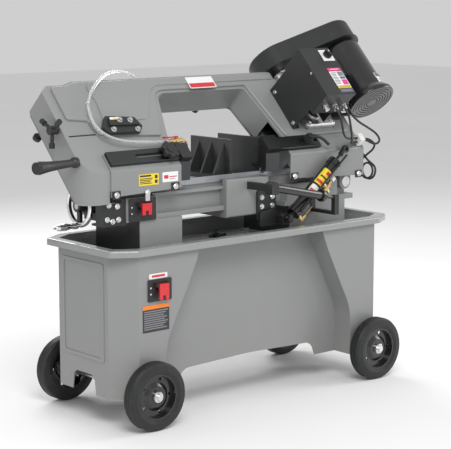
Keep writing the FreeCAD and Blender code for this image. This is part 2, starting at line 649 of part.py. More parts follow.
def bow_casting():
    back = ARM_FRONT - ARM_DEPTH
    body = prism(arm_outline(), back, ARM_FRONT)
    pad = [(-568, 662, 10), (-568, 784, 16), (-516, 784, 8), (-478, BEAM_TOP - 7, 12),
           (BEAM_END - 5, BEAM_TOP - 7, 6),
           (BEAM_END - 5, HEAD_TOP - 4, 6), (ARM_RIGHT - 16, HEAD_TOP - 12, 54), (ARM_RIGHT - 16, 536, 30),
           (206, 536, 12), (160, 738, 20), (160, BEAM_LOW + 9, 4), (-206, BEAM_LOW + 9, 44), (-268, 580,
                                                                                              12),
           (-484, 598, 16), (-502, 652, 10)]
    raised = prism(pad, ARM_FRONT - 1, ARM_FRONT + 8)
    raised = raised.makeFillet(5, [e for e in raised.Edges if e.BoundBox.ZMin > ARM_FRONT + 7.9])
    crown = [(-452, 640, 20), (-440, 720, 150), (-452, 772, 30), (-430, 790, 16), (BEAM_END - 12, 790, 8),
             (BEAM_END - 12, 765, 8), (-215, 765, 60), (-290, 640, 40)]
    raised_twice = prism(crown, ARM_FRONT + 7, ARM_FRONT + 12)
    raised_twice = raised_twice.makeFillet(3.5, [e for e in raised_twice.Edges if e.BoundBox.ZMin > ARM_FRONT + 11.9])
    body = body.fuse(raised).fuse(raised_twice)
    casting = clip_arm(tilt(body), NOSE_Z)
    lug_low = prism_y([(426, 604, 23), (474, 604, 23), (474, 700, 0), (426, 700, 0)], -76, -57)
    lug_back = prism_y([(426, 604, 23), (474, 604, 23), (506, 700, 30), (506, 850, 0), (492, 850, 0),
                        (440, 690, 40)], 52, 72)
    casting = casting.fuse(lug_low).fuse(lug_back)
    rooms = wheel_room(IDLER_X, 10).fuse(wheel_room(DRIVE_X, 0))
    runs = box(IDLER_X, DRIVE_X, 748, 766, 400, ARM_FRONT - WALL)
    runs = runs.fuse(box(-400, BEAM_END - 9, 772, BEAM_TOP - 7, 400, ARM_FRONT - WALL))
    runs = runs.fuse(box(IDLER_X, DRIVE_X, 380, 474, back - 1, back + 40))
    slot = box(ARM_LEFT + 14, -492, 603, 608, ARM_FRONT - 20, ARM_FRONT + 9)
    screw = rod(8, V(ARM_LEFT - 5, KNOB_U, KNOB_N), V(IDLER_X, KNOB_U, KNOB_N))
    shaft = rod(19, V(DRIVE_X, WHEEL_U, 500), V(DRIVE_X, WHEEL_U, 700))
    seat = box(GEARBOX[0] - GAP, GEARBOX[1] + GAP, GEARBOX[2] - GAP, 900, GEARBOX_N[0] - GAP, 700)
    seat = seat.fuse(rod(NOSE_R + GAP, V(WORM_X, 700, WORM_N), V(WORM_X, 900, WORM_N)))
    tools = tilt(rooms.fuse(runs).fuse(slot).fuse(screw).fuse(shaft).fuse(seat))
    casting = casting.cut(tools)
    casting = casting.cut(rod(PIVOT_R + FIT, PIVOT - V(0, 120, 0), PIVOT + V(0, 120, 0)))
    solids = sorted(casting.Solids, key=lambda s: -s.Volume)
    save("bow_casting", solids[0])


def wheel_cover():
    """The sheet cover that closes the back of both wheel housings and the beam."""
    back = ARM_FRONT - ARM_DEPTH
    inset = 5
    plan = [(ARM_LEFT + inset, 400), (ARM_LEFT + inset, 768, 12), (-572, 786, 12), (BEAM_END, 786, 8),
            (BEAM_END, HEAD_TOP - 4, 8), (ARM_RIGHT - inset, HEAD_TOP - 5, 56), (ARM_RIGHT - inset, 400),
            (212, 400), (212, 470), (155, BEAM_LOW + 2, 14), (-202, BEAM_LOW + 2, 34), (-268, 520,
                                                                                        10), (-268, 400)]
    outer = prism(plan, back - 16, back - GAP)
    outer = outer.makeFillet(6, [e for e in outer.Edges if e.BoundBox.ZMax < back - 15.9 and e.BoundBox.YMax > 480])
    cover = clip_arm(tilt(outer), NOSE_Z + 4)
    hollow = tilt(wheel_room(IDLER_X, 10).fuse(wheel_room(DRIVE_X, 0)).common(box(-900, 900, 300, 900,
                                                                                  back - 14, 600)))
    cover = cover.cut(hollow)
    cover = cover.cut(prism_y([(424, 602, 0), (508, 602, 0), (508, 860, 0), (490, 860, 0),
                               (436, 690, 0)], 51, 73))
    knobs = []
    for x, u in ((-590, 700), (-420, 775), (40, 766), (420, 752)):
        stem = rod(5, V(x, u, back - 30), V(x, u, back - 16 - 0.2))
        knobs.append(tilt(rod(13, V(x, u, back - 38), V(x, u, back - 27)).fuse(stem)))
    elbow = rod(8, V(-165, 752, 455), V(-165, 752, back - 16)).fuse(rod(6.5, V(-165, 745, 455),
                                                                        V(-165, 765, 455)))
    save("wheel_cover", sorted(cover.Solids, key=lambda s: -s.Volume)[0], *knobs, tilt(elbow))


def guard(name, x0, x1, low_left, low_right, flange_u):
    """A folded plate in front of the blade: a flange on the sloping face and an upright skirt."""
    t = 4
    inner = [arm_point(0, flange_u, ARM_FRONT + GAP), V(0, SKIRT_Y - GAP, 0), V(0, SKIRT_Y - GAP, 600)]
    outer = [V(0, SKIRT_Y - GAP - t, 600), V(0, SKIRT_Y - GAP - t, 0),
             arm_point(0, flange_u, ARM_FRONT + GAP + t)]
    for points, index, n in ((inner, 1, ARM_FRONT + GAP), (outer, 1, ARM_FRONT + GAP + t)):
        y = points[index].y
        tilt_rad = math.radians(ARM_TILT)
        points[index] = V(0, y, (n + y * math.sin(tilt_rad)) / math.cos(tilt_rad))
    corners = [(p.y, p.z) for p in inner + outer]
    radii = [0, 4, 0, 0, 8, 0]
    plate = prism_x([(c[0], c[1], r) for c, r in zip(corners, radii)], x0, x1)
    below = prism_y([(x0 - 1, 500, 0), (x1 + 1, 500, 0), (x1 + 1, low_right, 0), (x0 - 1, low_left, 0)],
                    -200, 0)
    plate = plate.cut(below)
    front = SKIRT_Y - GAP - t
    tabs, bolts = [], []
    for x, z in ((x0 + 16, low_left), (x1 - 24, low_right)):
        tabs.append(box(x - 14, x + 14, front - 3, front, z - 6, z + 17))
        bolts.append(bolt(V(x, front - 3, z + 6), V(0, -1, 0), 6.5, 5))
    if x1 > CYLINDER_TOP.x:
        # the pin that carries the feed cylinder's upper eye
        casting = tilt(box(300, 500, 0, 900, 300, ARM_FRONT + GAP))
        pin = rod(6, CYLINDER_TOP + V(0, 7.5, 0), CYLINDER_TOP + V(0, 60, 0)).cut(casting)
        bolts.append(pin)
        plate = plate.cut(pin)
    save(name, plate, *tabs, *bolts)


def blade():
    """The band: round both wheels, flat on them, and turned upright between the guides."""
    inner = WHEEL_R + BLADE_GAP
    outer = inner + BLADE_T
    low_n, high_n = WHEEL_N - BLADE_W / 2, WHEEL_N + BLADE_W / 2
    band = []
    for x, side in ((IDLER_X, -1), (DRIVE_X, 1)):
        hoop = ring(outer, inner, V(x, WHEEL_U, low_n), V(x, WHEEL_U, high_n))
        half = box(x - 300, x, 0, 1200, 0, 900) if side < 0 else box(x, x + 300, 0, 1200, 0, 900)
        band.append(tilt(hoop.common(half)))
    band.append(tilt(box(IDLER_X, DRIVE_X, WHEEL_U + inner, WHEEL_U + outer, low_n, high_n)))
    centre = arm_point(0, WHEEL_U - (inner + outer) / 2, WHEEL_N)
    stations = [(IDLER_X, 1.0)]
    steps = 6
    for i in range(1, steps + 1):
        stations.append((IDLER_X + (LEFT_GUIDE_X - IDLER_X) * i / steps, 1 - i / steps))
    for i in range(steps + 1):
        stations.append((RIGHT_GUIDE_X + (DRIVE_X - RIGHT_GUIDE_X) * i / steps, i / steps))
    sections = []
    for x, share in stations:
        turn = math.radians(ARM_TILT * share)
        wide = V(0, -math.sin(turn), math.cos(turn)) * (BLADE_W / 2)
        thick = V(0, math.cos(turn), math.sin(turn)) * (BLADE_T / 2)
        at = V(x, centre.y, centre.z)
        corners = [at + wide + thick, at + wide - thick, at - wide - thick, at - wide + thick]
        sections.append(Part.makePolygon(corners + [corners[0]]))
    for first, second in zip(sections, sections[1:]):
        band.append(Part.makeLoft([first, second], True, True))
    save("saw_blade", fuse(band))


def wheels():
    for name, x in (("idler_wheel", IDLER_X), ("drive_wheel", DRIVE_X)):
        low, high = WHEEL_N - WHEEL_T / 2, WHEEL_N + WHEEL_T / 2
        rim = ring(WHEEL_R, WHEEL_R - 14, V(x, WHEEL_U, low), V(x, WHEEL_U, high))
        web = rod(WHEEL_R - 10, V(x, WHEEL_U, WHEEL_N - 4), V(x, WHEEL_U, WHEEL_N + 4))
        hub = rod(30, V(x, WHEEL_U, low), V(x, WHEEL_U, high))
        wheel = rim.fuse(web).fuse(hub)
        for i in range(5):
            angle = math.radians(72 * i)
            at = V(x + 82 * math.cos(angle), WHEEL_U + 82 * math.sin(angle), WHEEL_N - 20)
            wheel = wheel.cut(rod(28, at, at + V(0, 0, 40)))
        wheel = wheel.cut(rod(15 + FIT, V(x, WHEEL_U, low - 1), V(x, WHEEL_U, high + 1)))
        if name == "drive_wheel":
            shaft = rod(15, V(x, WHEEL_U, low - 2), V(x, WHEEL_U, GEARBOX_N[1] - 12))
            gear = ring(24, 15, V(x, WHEEL_U, WORM_N - 10), V(x, WHEEL_U, WORM_N + 10))
            save(name, tilt(wheel), tilt(shaft), tilt(gear))
        else:
            save(name, tilt(wheel))


def tension():
    block = box(IDLER_X - 34, IDLER_X + 34, WHEEL_U - 30, KNOB_U + 18, 532, ARM_FRONT - WALL - GAP)
    shaft = rod(15, V(IDLER_X, WHEEL_U, WHEEL_N - 17), V(IDLER_X, WHEEL_U, 540))
    collar = rod(22, V(IDLER_X, WHEEL_U, WHEEL_N + 15), V(IDLER_X, WHEEL_U, 540))
    cap = rod(20, V(IDLER_X, WHEEL_U, WHEEL_N - 20), V(IDLER_X, WHEEL_U, WHEEL_N - 15))
    slide = fuse([block, shaft, collar, cap])
    slide = slide.cut(rod(TENSION_R + GAP, V(IDLER_X - 60, KNOB_U, KNOB_N),
                          V(IDLER_X + 60, KNOB_U, KNOB_N)))
    save("tension_slide", tilt(slide))
    hub_x = ARM_LEFT - 18
    hub = rod(13, V(hub_x - 12, KNOB_U, KNOB_N), V(hub_x + 14, KNOB_U, KNOB_N))
    hub = hub.fuse(rod(7, V(hub_x + 10, KNOB_U, KNOB_N), V(ARM_LEFT - 2, KNOB_U, KNOB_N)))
    screw = rod(TENSION_R, V(ARM_LEFT - 6, KNOB_U, KNOB_N), V(IDLER_X + 20, KNOB_U, KNOB_N))
    arms = []
    for i in range(3):
        arm = rod(5.5, V(0, 0, 0), V(-4, 0, 40)).fuse(rod(8.5, V(-4, 0, 36), V(-4.6, 0, 52)))
        arm.rotate(V(0, 0, 0), V(1, 0, 0), 10 + 120 * i)
        arm.translate(V(hub_x, KNOB_U, KNOB_N))
        arms.append(arm)
    save("tension_knob", tilt(fuse([hub, screw] + arms)))
    face = ARM_FRONT + 12
    plate = prism([(-478, 610, 5), (-468, 590, 5), (-354, 586, 5), (-338, 606, 5), (-352, 640, 5),
                   (-452, 650, 5)],
                  ARM_FRONT - 2, face + 14)
    upper = prism([(-456, 612, 4), (-346, 608, 4), (-356, 634, 4), (-446, 640, 4)], face + 14, face + 20)
    bolts = [bolt(V(x, u, face + 20), V(0, 0, 1), 6.5, 6) for x, u in ((-414, 627), (-378, 624))]
    bolts += [bolt(V(x, u, face + 14), V(0, 0, 1), 6.5, 6) for x, u in ((-446, 599), (-362, 594))]
    plate = plate.cut(prism([(-484, 598), (-568, 662), (-568, 500), (-200, 500), (-268, 580)], 500,
                            ARM_FRONT + 8.2))
    body = plate.common(box(-900, 900, 0, 900, face + 0.1, 900)).fuse(upper)
    save("tracking_bracket", tilt(body), *[tilt(b) for b in bolts])


def lift_handle():
    root = V(ARM_LEFT - 0.1, -64, 768)
    along = V(-132, -22, -3).normalize()
    profile = [(0, 0), (15, 0, 1), (15, 14, 1), (11, 20, 3), (12, 64, 20),
               (15, 112, 20), (19, 146, 5), (17, 156, 2), (0, 156)]
    grip = revolve_y(profile)
    grip.Placement = FreeCAD.Placement(root, FreeCAD.Rotation(V(0, 1, 0), along)).multiply(grip.Placement)
    save("lift_handle", grip)


# ---------------------------------------------------------------- blade guides and coolant
def guide(name, bar_x, slot_x, head_x, half_w):
    """A guide bar clamped on the sloping face, with its head hanging down to the blade."""
    bar = box(bar_x[0], bar_x[1], GUIDE_U[0], GUIDE_U[1], FLANGE_N, FLANGE_N + BAR_T)
    bar = bar.makeFillet(2, [e for e in bar.Edges if e.BoundBox.ZMin > FLANGE_N + BAR_T - 1])
    slot = [(slot_x[0], CLAMP_U - 6, 5.4), (slot_x[1], CLAMP_U - 6, 5.4),
            (slot_x[1], CLAMP_U + 6, 5.4), (slot_x[0], CLAMP_U + 6, 5.4)]
    bar = bar.cut(prism(slot, FLANGE_N - 1, FLANGE_N + BAR_T + 1))
    x0, x1 = head_x - half_w, head_x + half_w
    blade_y = arm_point(0, WHEEL_U - WHEEL_R - BLADE_GAP - BLADE_T / 2, WHEEL_N).y
    post = tilt(box(x0, x1, GUIDE_U[0] - 4, GUIDE_U[1] + 4, FLANGE_N, FLANGE_N + 20))
    drop = box(x0, x1, -98, -66, 702, 772).cut(tilt(box(x0 - 1, x1 + 1, 0, 900, FLANGE_N + 1, 900)))
    jaw = box(x0, x1, -96, blade_y - 20, 690, 712).fuse(box(x0, x1, -80, blade_y + 20, 703, 712))
    head = fuse([post, drop, jaw])
    rollers = []
    for side in (-1, 1):
        at = V(head_x, blade_y + side * (BLADE_T / 2 + 0.3 + ROLLER_R), 0)
        pin = rod(4, at + V(0, 0, 695), at + V(0, 0, 718))
        head = head.cut(pin)
        rollers.append(rod(ROLLER_R, at + V(0, 0, 681), at + V(0, 0, 695)).fuse(pin))
    save(name, fuse([tilt(bar), head]), *rollers)


def guides():
    guide("left_guide_bar", (-505, -250), (-411, -258), LEFT_GUIDE_X, 20)
    guide("right_guide_bar", (100, 318), (240, 311), RIGHT_GUIDE_X, 28)
    top = FLANGE_N + BAR_T + 0.3
    base = V(LEFT_CLAMP_X, CLAMP_U, 0)
    knob = fuse([rod(5, base + V(0, 0, FLANGE_N + 1), base + V(0, 0, top + 8)),
                 rod(13, base + V(0, 0, top), base + V(0, 0, top + 3)),
                 rod(13, base + V(0, 0, top + 2), base + V(0, 0, top + 22)),
                 rod(23, base + V(0, 0, top + 6), base + V(0, 0, top + 20))])
    for i in range(7):
        angle = math.radians(360 * i / 7)
        lobe = base + V(22 * math.cos(angle), 22 * math.sin(angle), 0)
        knob = knob.fuse(rod(8, lobe + V(0, 0, top + 6), lobe + V(0, 0, top + 20)))
    save("left_guide_knob", tilt(knob))
    base = V(RIGHT_CLAMP_X, CLAMP_U, top)
    knob = fuse([rod(5, base - V(0, 0, BAR_T - 1), base + V(0, 0, 5)), rod(15, base, base + V(0, 0, 18)),
                 rod(10, base, base + V(0, 0, 26))])
    handle = cord([base + V(0, 0, 20), base + V(24, -4, 24), base + V(48, -14, 20),
                   base + V(66, -32, 12)], 5)
    save("right_guide_lever", tilt(fuse([knob, handle])))


def coolant_fitting():
    """Brass valve body and elbow on the left guide head, with its tube down to the blade."""
    body = rod(7, FITTING - V(18, 0, 0), FITTING + V(22, 0, 0)).fuse(rod(5.5, FITTING - V(28, 0, 0),
                                                                         FITTING))
    body = body.fuse(rod(9, FITTING - V(4, 0, 0), FITTING + V(4, 0, 0)))
    stem = rod(5, FITTING, FITTING + V(0, 0, 9))
    foot = box(FITTING.x - 6, FITTING.x + 6, FITTING.y - 6, FITTING.y + 6, 773, FITTING.z)
    tube = cord([FITTING + V(21, 0, 0), FITTING + V(38, 1, -2), FITTING + V(44, 4, -22),
                 FITTING + V(41, 8, -46), FITTING + V(32, 9, -68)], HOSE_R - 1)
    head = tilt(box(-300, -200, GUIDE_U[0] - 4, GUIDE_U[1] + 4, FLANGE_N, FLANGE_N + 20))
    save("coolant_fitting", fuse([body, stem, foot, tube]).cut(head))
    lever = rod(6.5, FITTING + V(0, 0, 9.3), FITTING + V(0, 0, 13))
    blade = box(-32, 0, -3.5, 3.5, 9.3, 12.5).fuse(box(-48, -30, -4.5, 4.5, 9, 13.5))
    blade.translate(FITTING)
    save("coolant_valve_lever", fuse([lever, blade]))


def coolant_hose():
    """The clear hose: from its elbow on the back cover, over the beam and down to the brass valve."""
    route = [(-165, 765, 455), (-165, 798, 455), (-170, 823, 472), (-188, 821, 514), (-222, 819, 554),
             (-268, 821, 583), (-320, 820, 594), (-366, 808, 598), (-404, 784, 600), (-440, 754, 600),
             (-472, 722, 601), (-494, 684, 601), (-504, 640, 601), (-498, 596, 602), (-462, 564, 602),
             (-412, 552, 601), (-362, 548, 600)]
    points = [arm_point(*p) for p in route] + [FITTING - V(64, 0, 0), FITTING - V(28, 0, 0)]
    save("coolant_hose", cord(points, HOSE_R))


def cables():
    """Two cables from the control box and the motor's cable to the clip, and one on from the clip."""
    gland_u = BOX_U[0] - GLAND_L
    control = [(GLANDS_X[1], gland_u, GLAND_N), (GLANDS_X[1], gland_u - 22, GLAND_N), (320, 476, 704),
               (348, 470, 668), (384, 476, 636), (420, 486, 612), (448, 491, 602), (CLIP[0], 491, 602)]
    feed = [(GLANDS_X[2], gland_u, GLAND_N), (GLANDS_X[2], gland_u - 24, GLAND_N), (358, 472, 700),
            (384, 460, 662), (412, 462, 626), (434, 474, 602), (454, 482, 593), (CLIP[0], 482, 593)]
    motor_lead = [(MOTOR_X - MOTOR_R - 6, MOTOR_LOW + 100, 676), (MOTOR_X - MOTOR_R - 6, 650, 676),
                  (458, 622, 670), (448, 590, 662), (452, 556, 650), (476, 528, 640), (512, 508, 632),
                  (542, 488, 625), (552, 466, 617), (538, 456, 608), (520, 466, 603), (512, 480, 602),
                  (CLIP[1], 480, 602)]
    for route in (control, feed, motor_lead):
        yield cord([arm_point(*p) for p in route], CABLE_R)
    lead = [arm_point(CLIP[1], 492, 594), arm_point(512, 492, 594), V(532, -104, 762), V(538, -124, 748),
            V(536, -118, 730), V(532, -94, 712), V(530, -72, 694)]
    for i in range(COIL_STEPS):
        turned = i / COIL_STEPS * COIL_TURNS
        angle = math.radians(24 - 360 * turned)
        radius = COIL_R + 3 * turned
        lead.append(V(529 + 10 * turned, COIL_Y + radius * math.cos(angle),
                      COIL_Z + radius * math.sin(angle)))
    lead += [V(542, -86, 692), V(536, -70, 716), GROMMET + V(GROMMET_L, 0, 0)]
    yield cord(lead, CABLE_R)


# ---------------------------------------------------------------- drive
def gearbox():
    x0, x1, u0, u1 = GEARBOX
    n0, n1 = GEARBOX_N
    case = prism([(x0, u0, 14), (x1, u0, 14), (x1, u1, 20), (x0, u1, 20)], n0, n1)
    case = case.makeFillet(8, [e for e in case.Edges if e.BoundBox.ZMin > n1 - 1])
    nose = rod(NOSE_R, V(WORM_X, u1 - 20, WORM_N), V(WORM_X, COVER_U - 6, WORM_N))
    case = case.fuse(nose)
    for i in range(4):
        u = u1 - 14 - 9 * i
        case = case.fuse(box(x0 - 3, x1 + 3, u - 2, u + 2, ARM_FRONT + 9, n1 - 4))
    inside = box(x0 + 8, x1 - 8, WHEEL_U - 40, WHEEL_U + 45, n0 + 6, n1 - 8)
    case = case.cut(inside).cut(rod(15 + FIT, V(DRIVE_X, WHEEL_U, n0 - 1), V(DRIVE_X, WHEEL_U, n1 - 5)))
    case = case.cut(rod(10 + FIT, V(WORM_X, WHEEL_U, WORM_N), V(WORM_X, 900, WORM_N)))
    caps = [rod(26, V(DRIVE_X + 20, WHEEL_U, n1), V(DRIVE_X + 20, WHEEL_U, n1 + 5))]
    caps += [bolt(V(x, u, n1), V(0, 0, 1), 5, 4) for x in (x0 + 16, x1 - 16) for u in (u0 + 16,
                                                                                       WHEEL_U + 70)]
    save("gearbox", tilt(case), *[tilt(c) for c in caps])


def pulley(x, n, radius, shaft_r, shaft_from):
    low = COVER_U + 16
    wheel = rod(radius, V(x, low, n), V(x, low + 22, n))
    groove = ring(radius + 5, radius - 6, V(x, low + 7, n), V(x, low + 15, n))
    hub = rod(max(shaft_r + 8, 18), V(x, low - 6, n), V(x, low + 30, n))
    shaft = rod(shaft_r, V(x, shaft_from, n), V(x, low + 34, n))
    return fuse([wheel.cut(groove), hub, shaft])


def drive():
    worm = pulley(WORM_X, WORM_N, PULLEY_R_WORM, 10, WHEEL_U - 26)
    worm = worm.fuse(rod(11.5, V(WORM_X, WHEEL_U - 24, WORM_N), V(WORM_X, WHEEL_U + 24, WORM_N)))
    save("worm_pulley", tilt(worm))
    low = COVER_U + 16
    motor_low = MOTOR_LOW + 24
    rotor = pulley(MOTOR_X, MOTOR_N, PULLEY_R_MOTOR, 9, motor_low)
    save("motor_pulley", tilt(rotor))
    belt_low, belt_high = low + 7.6, low + 14.4
    r_worm, r_motor = PULLEY_R_WORM - 5.7, PULLEY_R_MOTOR - 5.7
    belt = belt_hull(WORM_X, WORM_N, r_worm + BELT_T, MOTOR_X, MOTOR_N, r_motor + BELT_T, belt_low,
                     belt_high)
    belt = belt.cut(belt_hull(WORM_X, WORM_N, r_worm, MOTOR_X, MOTOR_N, r_motor, belt_low - 1,
                              belt_high + 1))
    save("drive_belt", tilt(belt))


def motor():
    def disc(r, low, high):
        return rod(r, V(MOTOR_X, low, MOTOR_N), V(MOTOR_X, high, MOTOR_N))

    top = COVER_U - 8
    body = disc(MOTOR_R, MOTOR_LOW + 48, top - 18)
    bell = disc(MOTOR_R - 3, top - 18, top)
    bell = bell.makeFillet(12, [e for e in bell.Edges if e.BoundBox.YMin > top - 1])
    cowl = disc(MOTOR_R + 2, MOTOR_LOW + 16, MOTOR_LOW + 52)
    flare = Part.makeCone(81, MOTOR_R + 2, 20, V(MOTOR_X, MOTOR_LOW + 14, MOTOR_N), V(0, 1, 0))
    end = disc(81, MOTOR_LOW, MOTOR_LOW + 14)
    end = end.makeFillet(4, [e for e in end.Edges if e.BoundBox.YMax < MOTOR_LOW + 1])
    case = fuse([body, bell, cowl, flare, end])
    for r in (18, 28, 38, 48, 58, 68):
        groove = ring(r + 3, r, V(MOTOR_X, MOTOR_LOW - 1, MOTOR_N), V(MOTOR_X, MOTOR_LOW + 4, MOTOR_N))
        case = case.cut(groove)
    case = case.cut(disc(30, MOTOR_LOW + 22, MOTOR_LOW + 30)).cut(disc(9 + FIT, MOTOR_LOW + 24, 900))
    feet = box(MOTOR_X - 52, MOTOR_X + 52, MOTOR_LOW + 70, MOTOR_LOW + 190, MOTOR_N - MOTOR_R - 7,
               MOTOR_N - MOTOR_R + 12)
    feet = feet.cut(disc(MOTOR_R - 4, 0, 900))
    junction = box(MOTOR_X - MOTOR_R - 16, MOTOR_X - MOTOR_R + 12, MOTOR_LOW + 100, MOTOR_LOW + 170,
                   MOTOR_N - 30, MOTOR_N + 26)
    junction = junction.makeFillet(5, [e for e in junction.Edges if e.BoundBox.XMax < MOTOR_X - MOTOR_R - 15])
    save("motor", tilt(fuse([case, feet, junction])))


def motor_mount():
    """Slide plate and posts under the motor, the belt's back plate, and the control box's panels."""
    n_plate = MOTOR_N - MOTOR_R - 7
    plate = box(MOTOR_X - 66, MOTOR_X + 62, MOTOR_LOW + 60, MOTOR_LOW + 200, n_plate - 8, n_plate)
    arm = box(440, MOTOR_X - 20, MOTOR_LOW + 62, MOTOR_LOW + 198, ARM_FRONT + 8.4, n_plate - 7)
    arm = arm.cut(box(449, MOTOR_X - 21, 0, 900, ARM_FRONT + 17, n_plate - 8))
    arm = arm.cut(box(ARM_RIGHT - 8, 700, 0, 900, ARM_FRONT - 50, ARM_FRONT + 17))
    bars = [rod(6, V(430, u, n_plate - 13.5), V(MOTOR_X + 62, u,
                                                n_plate - 13.5)) for u in (MOTOR_LOW + 46, MOTOR_LOW + 24)]
    block = box(430, 470, MOTOR_LOW + 12, MOTOR_LOW + 64, ARM_FRONT + 8.4, n_plate - 7)
    tab = box(MOTOR_X + 20, MOTOR_X + 34, MOTOR_LOW + 14, MOTOR_LOW + 64, n_plate - 22, n_plate - 7.5)
    base = fuse([plate, arm, block, tab] + bars)
    back = belt_hull(WORM_X, WORM_N, COVER_R_WORM + 1, MOTOR_X, MOTOR_N, COVER_R_MOTOR + 5, COVER_U - 4,
                     COVER_U)
    back = back.cut(rod(NOSE_R + 1, V(WORM_X, 700, WORM_N), V(WORM_X, 900, WORM_N)))
    back = back.cut(rod(20, V(MOTOR_X, 700, MOTOR_N), V(MOTOR_X, 900, MOTOR_N)))
    back = back.cut(box(-900, BEAM_END + 1, 0, 900, 400, ARM_FRONT + 13))
    u0, u1 = BOX_U[0] + 20, BOX_U[1] - 8
    panel = box(BOX_X[0] + 1, BOX_X[0] + 5, u0, u1, ARM_FRONT + 8.4, BOX_N[0])
    panel = panel.fuse(box(BOX_X[0] + 1, BOX_X[0] + 24, u0, u1, ARM_FRONT + 12.4, ARM_FRONT + 16.4))
    panel = panel.fuse(box(BOX_X[0] + 1, BOX_X[1] - 6, u0, u1, BOX_N[0] - 4, BOX_N[0]))
    panel = panel.fuse(box(BOX_X[1] - 10, BOX_X[1] - 6, u0, u1, GEARBOX_N[1] + 10, BOX_N[0]))
    screws = [bolt(V(BOX_X[0] + 1, u, ARM_FRONT + 24), V(-1, 0, 0), 5, 4) for u in (u0 + 14, u1 - 20)]
    clip = tilt(box(*CLIP))
    grommet = rod(7, GROMMET, GROMMET + V(GROMMET_L, 0, 0))
    save("motor_mount", tilt(base), tilt(back), tilt(panel), clip, grommet, *[tilt(s) for s in screws])


def belt_cover():
    low, high = COVER_U + 0.4, COVER_U + COVER_H
    hull = belt_hull(WORM_X, WORM_N, COVER_R_WORM, MOTOR_X, MOTOR_N, COVER_R_MOTOR, low, high)
    hull = hull.makeFillet(10, [e for e in hull.Edges if e.BoundBox.YMin > high - 1])
    t = COVER_WALL
    room = belt_hull(WORM_X, WORM_N, COVER_R_WORM - t, MOTOR_X, MOTOR_N, COVER_R_MOTOR - t, low - 1,
                     high - t)
    room = room.makeFillet(8, [e for e in room.Edges if e.BoundBox.YMin > high - t - 1])
    knob = rod(14, V(455, high, 616), V(455, high + 16, 616))
    save("belt_cover", tilt(fuse([hull.cut(room), knob])))


def control_box():
    x0, x1 = BOX_X
    u0, u1 = BOX_U
    n0, n1 = BOX_N
    case = box(x0, x1, u0, u1, n0 + GAP, n1 - 2).cut(box(x0 + 2, x1 - 2, u0 + 2, u1 - 2, n0 + 3, n1))
    lid = box(x0 - 1, x1 + 1, u0 - 1, u1 + 1, n1 - 12, n1).cut(box(x0, x1, u0, u1, n1 - 12, n1 - 2))
    lid = lid.cut(rod(6 + FIT, V(DIAL.x, DIAL.y, n1 - 10), V(DIAL.x, DIAL.y, n1 + 5)))
    plate = box(DIAL.x - 24, DIAL.x + 24, DIAL.y - 22, DIAL.y + 22, n1, n1 + 1.2)
    plate = plate.cut(rod(6 + FIT, V(DIAL.x, DIAL.y, n1 - 1), V(DIAL.x, DIAL.y, n1 + 5)))
    screws = [rod(4, V(x0 - 3, (u0 + u1) / 2, n1 - 6.5), V(x0 - 1, (u0 + u1) / 2, n1 - 6.5))]
    glands = []
    for x in GLANDS_X:
        gland = fuse([hexagon(10, V(x, u0, GLAND_N), V(x, u0 - 8, GLAND_N)),
                      rod(8, V(x, u0 - 8, GLAND_N), V(x, u0 - 16, GLAND_N)),
                      hexagon(8.5, V(x, u0 - 13, GLAND_N), V(x, u0 - 22, GLAND_N))])
        glands.append(gland)
    save("control_box", tilt(case), tilt(fuse([lid, plate])), *[tilt(s) for s in screws + glands])
    dial = rod(6, V(DIAL.x, DIAL.y, n1 - 8), V(DIAL.x, DIAL.y, n1 + 2))
    dial = dial.fuse(rod(14, V(DIAL.x, DIAL.y, n1 + 1.5), V(DIAL.x, DIAL.y, n1 + 9)))
    grip = box(-4, 4, -14, 14, n1 + 8, n1 + 17)
    grip.rotate(V(0, 0, 0), V(0, 0, 1), 35)
    grip.translate(V(DIAL.x, DIAL.y, 0))
    save("selector_dial", tilt(fuse([dial, grip])))


